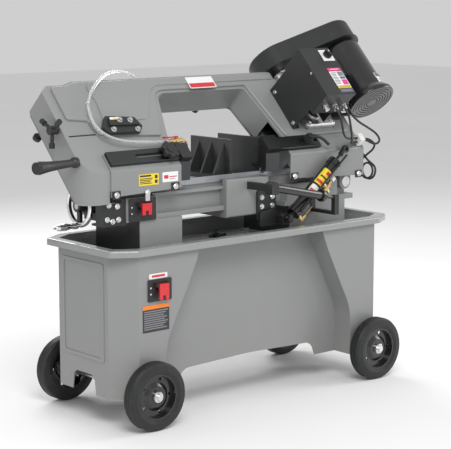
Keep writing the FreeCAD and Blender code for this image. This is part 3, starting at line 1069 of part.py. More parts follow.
# ---------------------------------------------------------------- downfeed
def downfeed():
    along = (CYLINDER_TOP - CYLINDER_LOW)
    length = along.Length
    along.normalize()
    side = V(0, 1, 0).cross(along)

    def at(s, out=0.0, y=0.0):
        return CYLINDER_LOW + along * s + side * out + V(0, y, 0)

    eye = rod(12, at(0, 0, -7), at(0, 0, 7)).fuse(rod(8, at(8), at(30)))
    body = rod(CYLINDER_R, at(26), at(258))
    caps = rod(CYLINDER_R + 2, at(24), at(44)).fuse(rod(CYLINDER_R + 2, at(240), at(260)))
    shell = fuse([eye, body, caps]).cut(rod(5 + FIT, at(46), at(262))).cut(rod(14, at(48), at(238)))
    shell = shell.cut(rod(6 + FIT, at(0, 0, -20), at(0, 0, 20)))
    tube = rod(3.6, at(40, 0, -28), at(292, 0, -28))
    for s in (40, 244):
        tube = tube.fuse(rod(4.5, at(s, 0, -21), at(s, 0, -32)))
    low_block = hexagon(9, at(36, 16), at(36, 34)).fuse(rod(5.5, at(36, 34), at(36, 46)))
    low_block = low_block.fuse(rod(7, at(32, 40), at(56, 40)))
    valve = rod(8, at(176, 18), at(176, 44)).fuse(hexagon(10, at(160, 36), at(194, 36)))
    valve = valve.fuse(rod(5, at(194, 36), at(208, 36))).fuse(rod(6, at(176, 44), at(176, 56)))
    pipe = rod(2.6, at(56, 40), at(96, 40))
    save("feed_cylinder", fuse([shell, tube, low_block, valve, pipe]))
    save("feed_valve_knob", rod(9, at(208.4, 36), at(222, 36)))
    piston = rod(5, at(60), at(length - 8)).fuse(rod(13.5, at(60), at(76)))
    piston = piston.fuse(rod(12, at(length, 0, -7), at(length, 0, 5)))
    piston = piston.fuse(rod(9, at(length - 26), at(length - 6)))
    piston = piston.cut(rod(6 + GAP, at(length, 0, -20), at(length, 0, 20)))
    save("cylinder_rod", piston)

    front = BED_FRONT
    plate = prism_y([(60, 540, 4), (137, 540, 4), (137, 632, 6), (60, 632, 6)], front - 6, front)
    arm_plate = prism_y([(66, 520, 8), (165, 520, 14), (165, 556, 14), (112, 572, 6), (66, 566, 6)],
                        front - 12, front - 5)
    ear = prism_y([(132, 522, 10), (168, 522, 14), (168, 556, 14), (132, 556, 10)], CYLINDER_Y + 8,
                  front - 5)
    pin = rod(6, CYLINDER_LOW - V(0, 14, 0), CYLINDER_LOW + V(0, 30, 0))
    cap = rod(10, CYLINDER_LOW - V(0, 13, 0), CYLINDER_LOW - V(0, 8, 0))
    stay = box(22, 38, SPRING_Y - 14, front, 641, 663)
    stay = stay.fuse(prism_y([(18, 633, 4), (48, 633, 4), (48, 671, 12), (18, 671, 12)], SPRING_Y - 16,
                             SPRING_Y + 16))
    bolts = [bolt(V(x, front - 6, z), V(0, -1, 0), 6, 5) for x in (77, 121) for z in (582, 610)]
    bracket = fuse([plate, arm_plate, ear, pin, cap])

    way = (SPRING_LOW - SPRING_HIGH).normalize()
    case = rod(13, SPRING_HIGH, SPRING_LOW)
    collar = rod(19, SPRING_LOW, SPRING_LOW + way * 9).fuse(rod(15, SPRING_LOW + way * 9,
                                                                SPRING_LOW + way * 16))
    stem = rod(5, SPRING_LOW + way * 16, SPRING_LOW + way * 72)
    spring = fuse([case, collar, stem])
    save("balance_spring", spring)
    foot = box(292, 310, SPRING_Y - 8, front, 546, 556)
    foot = foot.fuse(box(292, 310, SPRING_Y - 8, SPRING_Y + 8, 546, 608))
    foot = foot.fuse(box(292, 310, front - 4, front, 546, 584))
    save("cylinder_bracket", bracket, stay.cut(spring), foot.cut(spring), *bolts)


def work_stop():
    y, z = 50, PAN_FLOOR + 9.1
    bar = rod(5, V(-19, y, z), V(46, y, z))
    collar = rod(9, V(0, y, z), V(16, y, z))
    wing = rod(3, V(8, y, z + 8), V(8, y, z + 16)).fuse(box(0, 16, y - 1.5, y + 1.5, z + 14, z + 22))
    save("work_stop", fuse([bar, collar, wing]))


def main():
    stand_cabinet()
    drip_pan()
    coolant_tank()
    wheel_and_axle()
    pedestal("left_pedestal", -394, -230, 582)
    pedestal("right_pedestal", 198, 450, 572)
    bed_casting()
    pivot_shaft()
    vise()
    switch("shutoff_switch_box", "shutoff_paddle", -434, -336, 583, 650, BED_FRONT - 6, BED_FRONT, 14)
    switch("cabinet_switch_box", "cabinet_paddle", -447, -362, 366, 430, -CABINET_Y - 4, -CABINET_Y, 26)
    bow_casting()
    wheel_cover()
    guard("left_blade_guard", -510, -256, 664, 672, 530)
    guard("right_blade_guard", 182, ARM_RIGHT - 2, 662, 648, 482)
    blade()
    wheels()
    tension()
    lift_handle()
    guides()
    coolant_fitting()
    coolant_hose()
    save("cables", *cables())
    gearbox()
    drive()
    motor()
    motor_mount()
    belt_cover()
    control_box()
    downfeed()
    work_stop()


main()
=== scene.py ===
import math
import bmesh
import bpy
from mathutils import Matrix, Vector


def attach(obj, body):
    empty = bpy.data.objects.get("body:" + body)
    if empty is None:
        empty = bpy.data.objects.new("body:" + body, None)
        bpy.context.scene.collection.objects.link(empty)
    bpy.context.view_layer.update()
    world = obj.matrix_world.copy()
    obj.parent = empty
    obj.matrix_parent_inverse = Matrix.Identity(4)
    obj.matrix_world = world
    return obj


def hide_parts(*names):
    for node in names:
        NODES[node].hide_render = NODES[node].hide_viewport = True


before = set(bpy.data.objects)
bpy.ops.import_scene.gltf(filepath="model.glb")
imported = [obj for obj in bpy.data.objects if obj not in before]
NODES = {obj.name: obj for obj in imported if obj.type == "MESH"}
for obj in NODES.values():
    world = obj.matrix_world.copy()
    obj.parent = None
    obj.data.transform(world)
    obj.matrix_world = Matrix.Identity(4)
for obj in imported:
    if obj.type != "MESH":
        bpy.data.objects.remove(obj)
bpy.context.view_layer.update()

# Sizes and places are in mm, in the stand frame (x, y, z) or the arm frame (x, u, n).
MM = 0.001
DATUM = Vector((68, -2, 0))            # stand frame to row frame
ARM_TILT = math.radians(47)
FITTING = Vector((-244, -66, 806))     # brass coolant valve
GROMMET = Vector((516, -70, 716))      # where the spare cable enters the arm's end
WHEEL_U, WHEEL_N = 608.6, 503          # centre line of the blade wheels
BLADE_R, BLADE_T = 148.95, 0.9         # middle of the band from the wheels' centres
GUARD_FRONT = -104.4                   # y of the guards' upright face
CABINET_FRONT = -185
BEAM_FRONT = 587                       # n of the beam's raised crown
CONTROL_FRONT = 775                    # n of the control box's lid
CLIP_LOW, CLIP_HIGH = (473, 473, 583), (495, 503, 613)
MOTOR_X, MOTOR_N = 540, 677
COWL_R = 67
CYLINDER_LOW = Vector((150, -130, 540))
CYLINDER_TOP = Vector((394, -130, 742))
CYLINDER_R = 20


# ---------------------------------------------------------------- places
def at(x, y, z):
    """A point of the stand frame in mm, in the row frame in metres."""
    return (Vector((x, y, z)) + DATUM) * MM


def turned(x, u, n):
    """A direction or point of the arm frame, in the stand frame."""
    c, s = math.cos(ARM_TILT), math.sin(ARM_TILT)
    return Vector((x, u * c - n * s, u * s + n * c))


def on_arm(x, u, n):
    """A point of the arm frame in mm, in the row frame in metres."""
    return at(*turned(x, u, n))


def back_to_arm(point):
    """A row-frame point in metres, in the arm frame in mm."""
    p = point / MM - DATUM
    c, s = math.cos(ARM_TILT), math.sin(ARM_TILT)
    return Vector((p.x, p.y * c + p.z * s, p.z * c - p.y * s))


X, Y, Z = Vector((1, 0, 0)), Vector((0, 1, 0)), Vector((0, 0, 1))
UP_SLOPE = turned(0, 1, 0)


# ---------------------------------------------------------------- shader maths
class Value:
    """A shader socket that takes Python arithmetic."""

    def __init__(self, finish, socket):
        self.finish = finish
        self.socket = socket

    def _math(self, operation, a, b):
        return self.finish.node("ShaderNodeMath", {"operation": operation}, {0: a, 1: b})

    def __add__(self, other):
        return self._math("ADD", self, other)

    def __mul__(self, other):
        return self._math("MULTIPLY", self, other)

    __radd__ = __add__
    __rmul__ = __mul__


class Finish:
    """A node-based material, with its constants on the shader's own sockets."""

    def __init__(self, name, constants):
        self.material = bpy.data.materials.new(name)
        self.material.use_nodes = True
        self.tree = self.material.node_tree
        self.shader = self.tree.nodes["Principled BSDF"]
        for socket, value in constants.items():
            self.shader.inputs[socket].default_value = value
        self.where = self.node("ShaderNodeTexCoord", out="Object")

    def node(self, kind, settings=None, sockets=None, out=0):
        made = self.tree.nodes.new(kind)
        for key, value in (settings or {}).items():
            setattr(made, key, value)
        for key, value in (sockets or {}).items():
            if isinstance(value, Value):
                self.tree.links.new(value.socket, made.inputs[key])
            else:
                made.inputs[key].default_value = value
        return Value(self, made.outputs[out])

    def feed(self, socket, value):
        self.tree.links.new(value.socket, self.shader.inputs[socket])

    def noise(self, scale, detail=3.0, stretch=None, rough=0.5):
        """Noise over the object, about 0.5, optionally stretched along an axis."""
        where = self.where
        if stretch:
            where = self.node("ShaderNodeMapping", sockets={"Vector": where, "Scale": stretch})
        return self.node("ShaderNodeTexNoise", sockets={
            "Vector": where, "Scale": scale, "Detail": detail, "Roughness": rough}, out="Fac")

    def ramp(self, value, low, high, to_low=0.0, to_high=1.0):
        return self.node("ShaderNodeMapRange", {"interpolation_type": "SMOOTHSTEP"}, {
            "Value": value, "From Min": low, "From Max": high, "To Min": to_low, "To Max": to_high})

    def mix(self, share, a, b):
        """A colour from a to b as share goes from 0 to 1."""
        return self.node("ShaderNodeMix", {"data_type": "RGBA"}, {
            "Factor": share, 6: a if isinstance(a, Value) else solid(a),
            7: b if isinstance(b, Value) else solid(b)}, out=2)

    def height(self):
        """How high a point is above the floor, in metres."""
        return self.node("ShaderNodeSeparateXYZ", sockets={"Vector": self.where}, out="Z")

    def bump(self, height, strength, distance):
        self.feed("Normal", self.node("ShaderNodeBump", sockets={
            "Height": height, "Strength": strength, "Distance": distance}))


def solid(colour):
    return (*colour, 1.0)


def shade(colour, factor):
    return tuple(min(1.0, c * factor) for c in colour)


# ---------------------------------------------------------------- finishes
DUST = (0.30, 0.28, 0.25)


def paint(name, colour, rough, peel=0.12, coat=0.0, cast=0.0, dust=0.0):
    """Sprayed enamel: orange peel, faint mottling, rubbed gloss, and dust low down."""
    finish = Finish(name, {"Metallic": 0.0, "Coat Roughness": 0.12, "Coat Weight": coat})
    cloud = finish.noise(5.0, 4.0)
    speck = finish.ramp(finish.noise(420.0, 2.0), 0.62, 0.72)
    base = finish.mix(cloud, shade(colour, 0.94), shade(colour, 1.06))
    base = finish.mix(speck * 0.10, base, shade(colour, 0.55))
    if dust:
        low = finish.ramp(finish.height(), 0.32, 0.06) * finish.ramp(finish.noise(22.0), 0.35, 0.7)
        base = finish.mix(low * dust, base, DUST)
    finish.feed("Base Color", base)
    rubbed = finish.noise(38.0, 5.0, rough=0.65)
    finish.feed("Roughness", finish.ramp(rubbed, 0.3, 0.7, rough - 0.05, rough + 0.07))
    surface = finish.noise(620.0, 1.0) * peel
    if cast:
        surface = surface + finish.noise(190.0, 3.0, rough=0.6) * cast
    finish.bump(surface, 0.5, 0.0006)
    return finish.material


def metal(name, colour, rough, stretch=None, tarnish=0.15, grain=300.0):
    """Bare metal with turning or grinding marks and a little tarnish."""
    finish = Finish(name, {"Metallic": 1.0})
    cloud = finish.ramp(finish.noise(30.0, 4.0), 0.42, 0.75)
    finish.feed("Base Color", finish.mix(cloud * tarnish, colour, shade(colour, 0.45)))
    marks = finish.noise(grain, 3.0, stretch)
    finish.feed("Roughness", finish.ramp(marks, 0.25, 0.75, rough - 0.07, rough + 0.10))
    finish.bump(marks, 0.25, 0.0002)
    return finish.material


def moulded(name, colour, rough, grain=900.0, coat=0.0, relief=0.3):
    """Moulded plastic or rubber with a fine texture."""
    finish = Finish(name, {"Metallic": 0.0, "Coat Weight": coat, "Coat Roughness": 0.1})
    cloud = finish.noise(14.0, 3.0)
    finish.feed("Base Color", finish.mix(cloud, shade(colour, 0.85), shade(colour, 1.15)))
    finish.feed("Roughness", finish.ramp(finish.noise(60.0, 4.0), 0.3, 0.7, rough - 0.05, rough + 0.08))
    finish.bump(finish.noise(grain, 2.0), relief, 0.0003)
    return finish.material


def tyre_rubber():
    """Solid rubber: dull black, with scuffs and grey dust on the tread."""
    finish = Finish("tyre_rubber", {"Metallic": 0.0, "Specular IOR Level": 0.35})
    scuff = finish.ramp(finish.noise(60.0, 5.0, rough=0.7), 0.5, 0.72)
    base = finish.mix(finish.noise(9.0), (0.016, 0.017, 0.017), (0.028, 0.029, 0.029))
    finish.feed("Base Color", finish.mix(scuff * 0.35, base, (0.075, 0.074, 0.070)))
    finish.feed("Roughness", finish.ramp(scuff, 0.0, 1.0, 0.48, 0.74))
    finish.bump(finish.noise(240.0, 4.0) + finish.noise(1200.0, 1.0) * 0.4, 0.4, 0.0005)
    return finish.material


def clear_vinyl():
    finish = Finish("clear_vinyl", {"Transmission Weight": 0.75, "IOR": 1.38})
    finish.feed("Base Color", finish.mix(finish.noise(25.0), (0.90, 0.91, 0.90), (0.97, 0.98, 0.97)))
    finish.feed("Roughness", finish.ramp(finish.noise(90.0), 0.3, 0.7, 0.14, 0.26))
    finish.bump(finish.noise(300.0), 0.15, 0.0004)
    return finish.material


def printed(name, colour, rough=0.34):
    """A vinyl label's printed film."""
    finish = Finish(name, {"Metallic": 0.0, "Coat Weight": 0.25, "Coat Roughness": 0.2})
    grain = finish.noise(180.0, 2.0)
    finish.feed("Base Color", finish.mix(grain, shade(colour, 0.93), shade(colour, 1.04)))
    finish.feed("Roughness", finish.ramp(finish.noise(70.0), 0.3, 0.7, rough - 0.04, rough + 0.08))
    finish.bump(finish.noise(500.0), 0.1, 0.0002)
    return finish.material


GREY = (0.255, 0.260, 0.258)
CABINET = paint("cabinet_enamel", GREY, 0.36, coat=0.15, dust=0.25)
PAN = paint("pan_enamel", (0.27, 0.276, 0.274), 0.22, coat=0.5)
CAST = paint("casting_enamel", GREY, 0.38, cast=0.8, coat=0.1)
# The guards and the wheel cover get the grey enamel a little darker than the cabinet grey, as painted
# shade on their upright, shaded faces
GUARD_SHADED_ENAMEL = paint("guard_enamel_painted_shade", (0.235, 0.24, 0.238), 0.34, coat=0.15)
BED_IRON = paint("bed_enamel", (0.25, 0.255, 0.253), 0.42, cast=1.3)
SATIN = paint("black_satin", (0.020, 0.021, 0.021), 0.38, peel=0.3)
GLOSS = paint("black_gloss", (0.012, 0.012, 0.013), 0.20, peel=0.15, coat=0.5)
JAW_BLACK = paint("jaw_black", (0.030, 0.031, 0.031), 0.36, cast=0.9, coat=0.2)
OXIDE = metal("black_oxide", (0.085, 0.087, 0.09), 0.38, stretch=(1, 6, 6))
STEEL = metal("turned_steel", (0.62, 0.62, 0.63), 0.28, stretch=(6, 1, 1))
BLADE_STEEL = metal("blade_steel", (0.42, 0.43, 0.46), 0.34, stretch=(1, 8, 8), tarnish=0.3)
ZINC = metal("zinc_bolt", (0.78, 0.78, 0.79), 0.24, tarnish=0.2)
CHROME = metal("chrome_plate", (0.86, 0.86, 0.87), 0.10, tarnish=0.05)
ALUMINIUM = metal("cast_aluminium", (0.72, 0.72, 0.72), 0.42, tarnish=0.1, grain=220.0)
IRON = metal("machined_iron", (0.42, 0.42, 0.42), 0.36, tarnish=0.35)
BRASS = metal("brass", (0.80, 0.58, 0.27), 0.24, tarnish=0.25)
COPPER = metal("copper_pipe", (0.62, 0.36, 0.22), 0.32, tarnish=0.3)
RUBBER = moulded("cable_rubber", (0.018, 0.018, 0.019), 0.44, relief=0.2)
BLACK_PLASTIC = moulded("black_plastic", (0.020, 0.020, 0.021), 0.40)
TANK_PLASTIC = moulded("tank_plastic", (0.05, 0.052, 0.055), 0.5)
RED = moulded("red_plastic", (0.62, 0.012, 0.018), 0.28, coat=0.4, relief=0.15)
RED_DIP = moulded("red_vinyl_dip", (0.50, 0.012, 0.02), 0.34)
WHITE_PLASTIC = moulded("white_plastic", (0.78, 0.78, 0.76), 0.32, coat=0.2)
TYRE = tyre_rubber()
VINYL = clear_vinyl()
WHITE_INK = printed("label_white", (0.80, 0.80, 0.79))
RED_INK = printed("label_red", (0.62, 0.02, 0.04))
PINK_INK = printed("label_pink", (0.70, 0.04, 0.22))
YELLOW_INK = printed("label_yellow", (0.80, 0.62, 0.02))
ORANGE_INK = printed("label_orange", (0.85, 0.22, 0.01))
BLACK_INK = printed("label_black", (0.022, 0.022, 0.024))
GREY_INK = printed("label_grey", (0.20, 0.20, 0.22))
BLUE_INK = printed("label_blue", (0.09, 0.10, 0.20))


# ---------------------------------------------------------------- dressing the CAD nodes
def islands(mesh):
    """The mesh's separate solids, each a list of face numbers with its lowest and highest corner."""
    parent = {}

    def root(key):
        while parent[key] != key:
            parent[key] = parent[parent[key]]
            key = parent[key]
        return key

    keys = [tuple(round(c, 6) for c in v.co) for v in mesh.vertices]
    for key in keys:
        parent.setdefault(key, key)
    for face in mesh.polygons:
        first = root(keys[face.vertices[0]])
        for corner in face.vertices[1:]:
            other = root(keys[corner])
            parent[other] = first
    groups = {}
    for face in mesh.polygons:
        groups.setdefault(root(keys[face.vertices[0]]), []).append(face.index)
    found = []
    for faces in groups.values():
        corners = [mesh.vertices[v].co for f in faces for v in mesh.polygons[f].vertices]
        low = Vector([min(c[i] for c in corners) for i in range(3)])
        high = Vector([max(c[i] for c in corners) for i in range(3)])
        found.append((faces, low, high))
    return found


def dress(node, main, small=None, size=0.034, where=None, other=None):
    """Give a node its finish, its small separate solids another, and the faces in a region a third."""
    mesh = NODES[node].data
    mesh.materials.clear()
    for material in (main, small, other):
        if material:
            mesh.materials.append(material)
    slots = {m.name: i for i, m in enumerate(mesh.materials)}
    index = [0] * len(mesh.polygons)
    if small:
        for faces, low, high in islands(mesh):
            if max(high - low) < size:
                for face in faces:
                    index[face] = slots[small.name]
    if where:
        for face in mesh.polygons:
            if where(face.center):
                index[face.index] = slots[other.name]
    mesh.polygons.foreach_set("material_index", index)


def beside_axis(point, along, radius):
    """A test for faces within a radius of an axis; both are in the stand frame, in mm."""
    start, way = at(*point), along.normalized()

    def test(centre):
        offset = centre - start
        return (offset - way * offset.dot(way)).length < radius * MM

    return test


FEED_WAY = (CYLINDER_TOP - CYLINDER_LOW).normalized()
FEED_SIDE = Y.cross(FEED_WAY)


def feed_offset(centre):
    return (centre / MM - DATUM - CYLINDER_LOW).dot(FEED_SIDE)


def dress_all():
    dress("stand_cabinet", CABINET)
    dress("drip_pan", PAN)
    dress("coolant_tank", TANK_PLASTIC)
    dress("wheel_axles", ZINC)
    for side, y in (("front", -220), ("rear", 220)):
        for end, x in (("left", -451), ("right", 451)):
            dress(f"tyre_{side}_{end}", TYRE)
            dress(f"wheel_rim_{side}_{end}", GLOSS, other=ZINC, where=beside_axis((x, y, 100), Y, 18))
    # Painted shade: each pedestal's left side face gets black satin, a dark panel standing in for the
    # deep shade on that side
    left_shaded_face_x = at(-393, 0, 0).x
    right_shaded_face_x = at(199, 0, 0).x
    for node, side in (("left_pedestal", left_shaded_face_x), ("right_pedestal", right_shaded_face_x)):
        dress(node, CABINET, ZINC, other=SATIN, where=lambda c: abs(c.x - side) < 0.002)
    dress("bed_casting", BED_IRON)
    dress("pivot_shaft", ZINC)
    dress("fixed_jaw", JAW_BLACK, ZINC)
    dress("movable_jaw", JAW_BLACK)
    dress("vise_screw_bracket", SATIN, ZINC, size=0.022)
    dress("vise_screw", STEEL)
    hub = beside_axis((-505, 60, 622), X, 49)
    boss = beside_axis((-505, 60, 622), X, 10)
    dress("handwheel", CHROME, other=SATIN, where=lambda c: hub(c) and not boss(c))
    dress("handwheel_grip", CHROME)
    for node in ("shutoff_switch_box", "cabinet_switch_box"):
        dress(node, BLACK_PLASTIC, ZINC, size=0.008)
    dress("shutoff_paddle", RED)
    dress("cabinet_paddle", RED)
    dress("bow_casting", CAST)
    dress("wheel_cover", GUARD_SHADED_ENAMEL, BLACK_PLASTIC, size=0.036)
    dress("left_blade_guard", GUARD_SHADED_ENAMEL, ZINC, size=0.0195, other=SATIN, where=guard_tab)
    dress("right_blade_guard", GUARD_SHADED_ENAMEL, ZINC, size=0.0195, other=SATIN, where=guard_tab)
    dress("saw_blade", BLADE_STEEL)
    for node in ("idler_wheel", "drive_wheel", "worm_pulley", "motor_pulley"):
        dress(node, IRON)
    dress("tension_slide", SATIN)
    dress("tension_knob", BLACK_PLASTIC)
    dress("tracking_bracket", SATIN, ZINC, size=0.024)
    dress("lift_handle", RUBBER)
    dress("left_guide_bar", OXIDE, STEEL, size=0.04)
    dress("right_guide_bar", OXIDE, STEEL, size=0.04)
    dress("left_guide_knob", BLACK_PLASTIC)
    dress("right_guide_lever", BLACK_PLASTIC)
    elbow_x = at(-224, 0, 0).x
    dress("coolant_fitting", BRASS, other=COPPER, where=lambda c: c.x > elbow_x)
    dress("coolant_valve_lever", RED_DIP)
    dress("gearbox", ALUMINIUM, ZINC, size=0.016)
    dress("motor", GLOSS)
    dress("motor_mount", SATIN, ZINC, size=0.018, other=WHITE_PLASTIC, where=cable_clip)
    dress("drive_belt", RUBBER)
    dress("belt_cover", SATIN)
    dress("control_box", SATIN, ZINC, size=0.030, other=WHITE_INK, where=dial_plate)
    dress("selector_dial", BLACK_PLASTIC)
    dress("feed_cylinder", GLOSS, other=BRASS, where=lambda c: feed_offset(c) > 21)
    add_region("feed_cylinder", CHROME, lambda c: feed_offset(c) < -23)
    dress("cylinder_rod", GLOSS)
    dress("feed_valve_knob", WHITE_PLASTIC)
    dress("cylinder_bracket", SATIN, ZINC, size=0.022)
    dress("balance_spring", GLOSS)
    dress("work_stop", OXIDE)


def add_region(node, material, where):
    """One more finish on a dressed node, for the faces in a region."""
    mesh = NODES[node].data
    mesh.materials.append(material)
    for face in mesh.polygons:
        if where(face.center):
            face.material_index = len(mesh.materials) - 1


def guard_tab(centre):
    """The bolted tabs that stand proud of a guard's upright face."""
    y, z = centre.y / MM - DATUM.y, centre.z / MM
    return GUARD_FRONT - 4 < y < GUARD_FRONT and z < 692


def cable_clip(centre):
    """The nylon clip that gathers the cables on the arm."""
    p = back_to_arm(centre)
    return all(low < value < high for low, value, high in zip(CLIP_LOW, p, CLIP_HIGH))


def dial_plate(centre):
    """The plate that stands proud of the control box's lid, round the dial."""
    return back_to_arm(centre).z > CONTROL_FRONT + 0.3


# ---------------------------------------------------------------- piece helpers
def finish_piece(name, bm, body, materials, matrix=None):
    """Close the mesh being built, and make it a piece that rides on a body."""
    bmesh.ops.recalc_face_normals(bm, faces=bm.faces)
    mesh = bpy.data.meshes.new(name)
    bm.to_mesh(mesh)
    bm.free()
    for material in materials:
        mesh.materials.append(material)
    piece = bpy.data.objects.new(name, mesh)
    bpy.context.scene.collection.objects.link(piece)
    if matrix:
        piece.matrix_world = matrix
    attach(piece, body)


def rounded(half_w, half_h, radius, steps=5):
    """Corner points of a rounded rectangle about the origin."""
    points = []
    for cx, cy, start in ((1, 1, 0), (-1, 1, 90), (-1, -1, 180), (1, -1, 270)):
        for i in range(steps + 1):
            angle = math.radians(start + 90 * i / steps)
            points.append((cx * (half_w - radius) + radius * math.cos(angle),
                           cy * (half_h - radius) + radius * math.sin(angle)))
    return points


def add_slab(bm, points, low, high, material=0):
    """A flat slab with the given outline, from low to high."""
    add_stack(bm, [[(x, y, z) for x, y in points] for z in (low, high)], material)


def add_stack(bm, rings, material=0, closed=False):
    """A skin over rings of points, each joined to the next, with ends unless it is closed."""
    made = [[bm.verts.new(point) for point in ring] for ring in rings]
    following = made[1:] + made[:1] if closed else made[1:]
    faces = []
    for near, far in zip(made, following):
        for i, corner in enumerate(near):
            j = (i + 1) % len(near)
            faces.append(bm.faces.new((corner, near[j], far[j], far[i])))
    if not closed:
        faces += [bm.faces.new(reversed(made[0])), bm.faces.new(made[-1])]
    for face in faces:
        face.material_index = material


def frame_matrix(origin, right, up):
    """A placement whose x runs right, y runs up and z stands off the surface."""
    right, up = right.normalized(), up.normalized()
    off = right.cross(up)
    return Matrix((
        (right.x, up.x, off.x, origin.x), (right.y, up.y, off.y, origin.y),
        (right.z, up.z, off.z, origin.z), (0, 0, 0, 1)))


def label(name, body, origin, right, up, size, materials, marks, radius=2.0, thick=0.5):
    """A label: a thin rounded plate in mm, with printed marks (x0, x1, y0, y1, material) as shares."""
    bm = bmesh.new()
    w, h = size[0] / 2 * MM, size[1] / 2 * MM
    add_slab(bm, rounded(w, h, radius * MM), 0.0, thick * MM)
    for x0, x1, y0, y1, material in marks:
        half_w, half_h = (x1 - x0) * w, (y1 - y0) * h
        mid_x, mid_y = (x0 + x1 - 1) * w, (y0 + y1 - 1) * h
        corner = min(half_w, half_h, 1.2 * MM) * 0.6
        outline = [(x + mid_x, y + mid_y) for x, y in rounded(half_w, half_h, corner, 3)]
        add_slab(bm, outline, thick * 0.5 * MM, (thick + 0.12) * MM, material)
    finish_piece(name, bm, body, materials, frame_matrix(origin, right, up))


def ruled(x0, x1, y_top, y_low, count, material, ragged=0.18):
    """Rows of plain bars."""
    marks = []
    pitch = (y_top - y_low) / count
    for i in range(count):
        end = x1 - ragged * (x1 - x0) * ((i * 7) % 5) / 4
        y = y_top - pitch * i
        marks.append((x0, end, y - pitch * 0.55, y, material))
    return marks


# ---------------------------------------------------------------- cords
def cord(name, routes, radius, material, node):
    """Smooth cords held by the arm, in place of their plain CAD tubes."""
    curve = bpy.data.curves.new(name, "CURVE")
    curve.dimensions = "3D"
    curve.bevel_depth = radius * MM
    curve.bevel_resolution = 4
    curve.resolution_u = 10
    curve.use_fill_caps = True
    curve.materials.append(material)
    for points in routes:
        spline = curve.splines.new("NURBS")
        spline.points.add(len(points) - 1)
        for point, place in zip(spline.points, points):
            point.co = (*place, 1.0)
        spline.order_u = 3
        spline.use_endpoint_u = True
    piece = bpy.data.objects.new(name, curve)
    bpy.context.scene.collection.objects.link(piece)
    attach(piece, "arm")
    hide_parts(node)


HOSE_ROUTE = [
    (-165, 765, 455), (-165, 798, 455), (-170, 823, 472), (-188, 821, 514), (-222, 819, 554),
    (-268, 821, 583), (-320, 820, 594), (-366, 808, 598), (-404, 784, 600), (-440, 754, 600),
    (-472, 722, 601), (-494, 684, 601), (-504, 640, 601), (-498, 596, 602), (-462, 564, 602),
    (-412, 552, 601), (-362, 548, 600)]
GLAND_U, GLAND_N = 518, 728
CONTROL_ROUTE = [
    (306, GLAND_U, GLAND_N), (306, 496, GLAND_N), (320, 476, 704), (348, 470, 668), (384, 476, 636),
    (420, 486, 612), (448, 491, 602), (474, 491, 602)]
FEED_ROUTE = [
    (344, GLAND_U, GLAND_N), (344, 494, GLAND_N), (358, 472, 700), (384, 460, 662), (412, 462, 626),
    (434, 474, 602), (454, 482, 593), (474, 482, 593)]
MOTOR_ROUTE = [
    (469, 672, 676), (469, 650, 676), (458, 622, 670), (448, 590, 662), (452, 556, 650),
    (476, 528, 640), (512, 508, 632), (542, 488, 625), (552, 466, 617), (538, 456, 608),
    (520, 466, 603), (512, 480, 602), (494, 480, 602)]
LOOP_STEPS, LOOP_TURNS, LOOP_R = 21, 1.75, 24.0
LOOP_Y, LOOP_Z = -93, 658


def make_cords():
    hose = [on_arm(*p) for p in HOSE_ROUTE]
    hose += [at(*(FITTING - X * 64)), at(*(FITTING - X * 28))]
    cord("coolant_tube", [hose], 4.5, VINYL, "coolant_hose")
    lead = [on_arm(494, 492, 594), on_arm(512, 492, 594)]
    hanging = [(532, -104, 762), (538, -124, 748), (536, -118, 730), (532, -94, 712), (530, -72, 694)]
    lead += [at(*p) for p in hanging]
    for i in range(LOOP_STEPS):
        share = i / LOOP_STEPS * LOOP_TURNS
        angle = math.radians(24 - 360 * share)
        radius = LOOP_R + 3 * share
        y, z = LOOP_Y + radius * math.cos(angle), LOOP_Z + radius * math.sin(angle)
        lead.append(at(529 + 10 * share, y, z))
    lead += [at(542, -86, 692), at(536, -70, 716), at(*GROMMET)]
    routes = [[on_arm(*p) for p in route] for route in (CONTROL_ROUTE, FEED_ROUTE, MOTOR_ROUTE)]
    cord("arm_cables", [*routes, lead], 3.5, RUBBER, "cables")


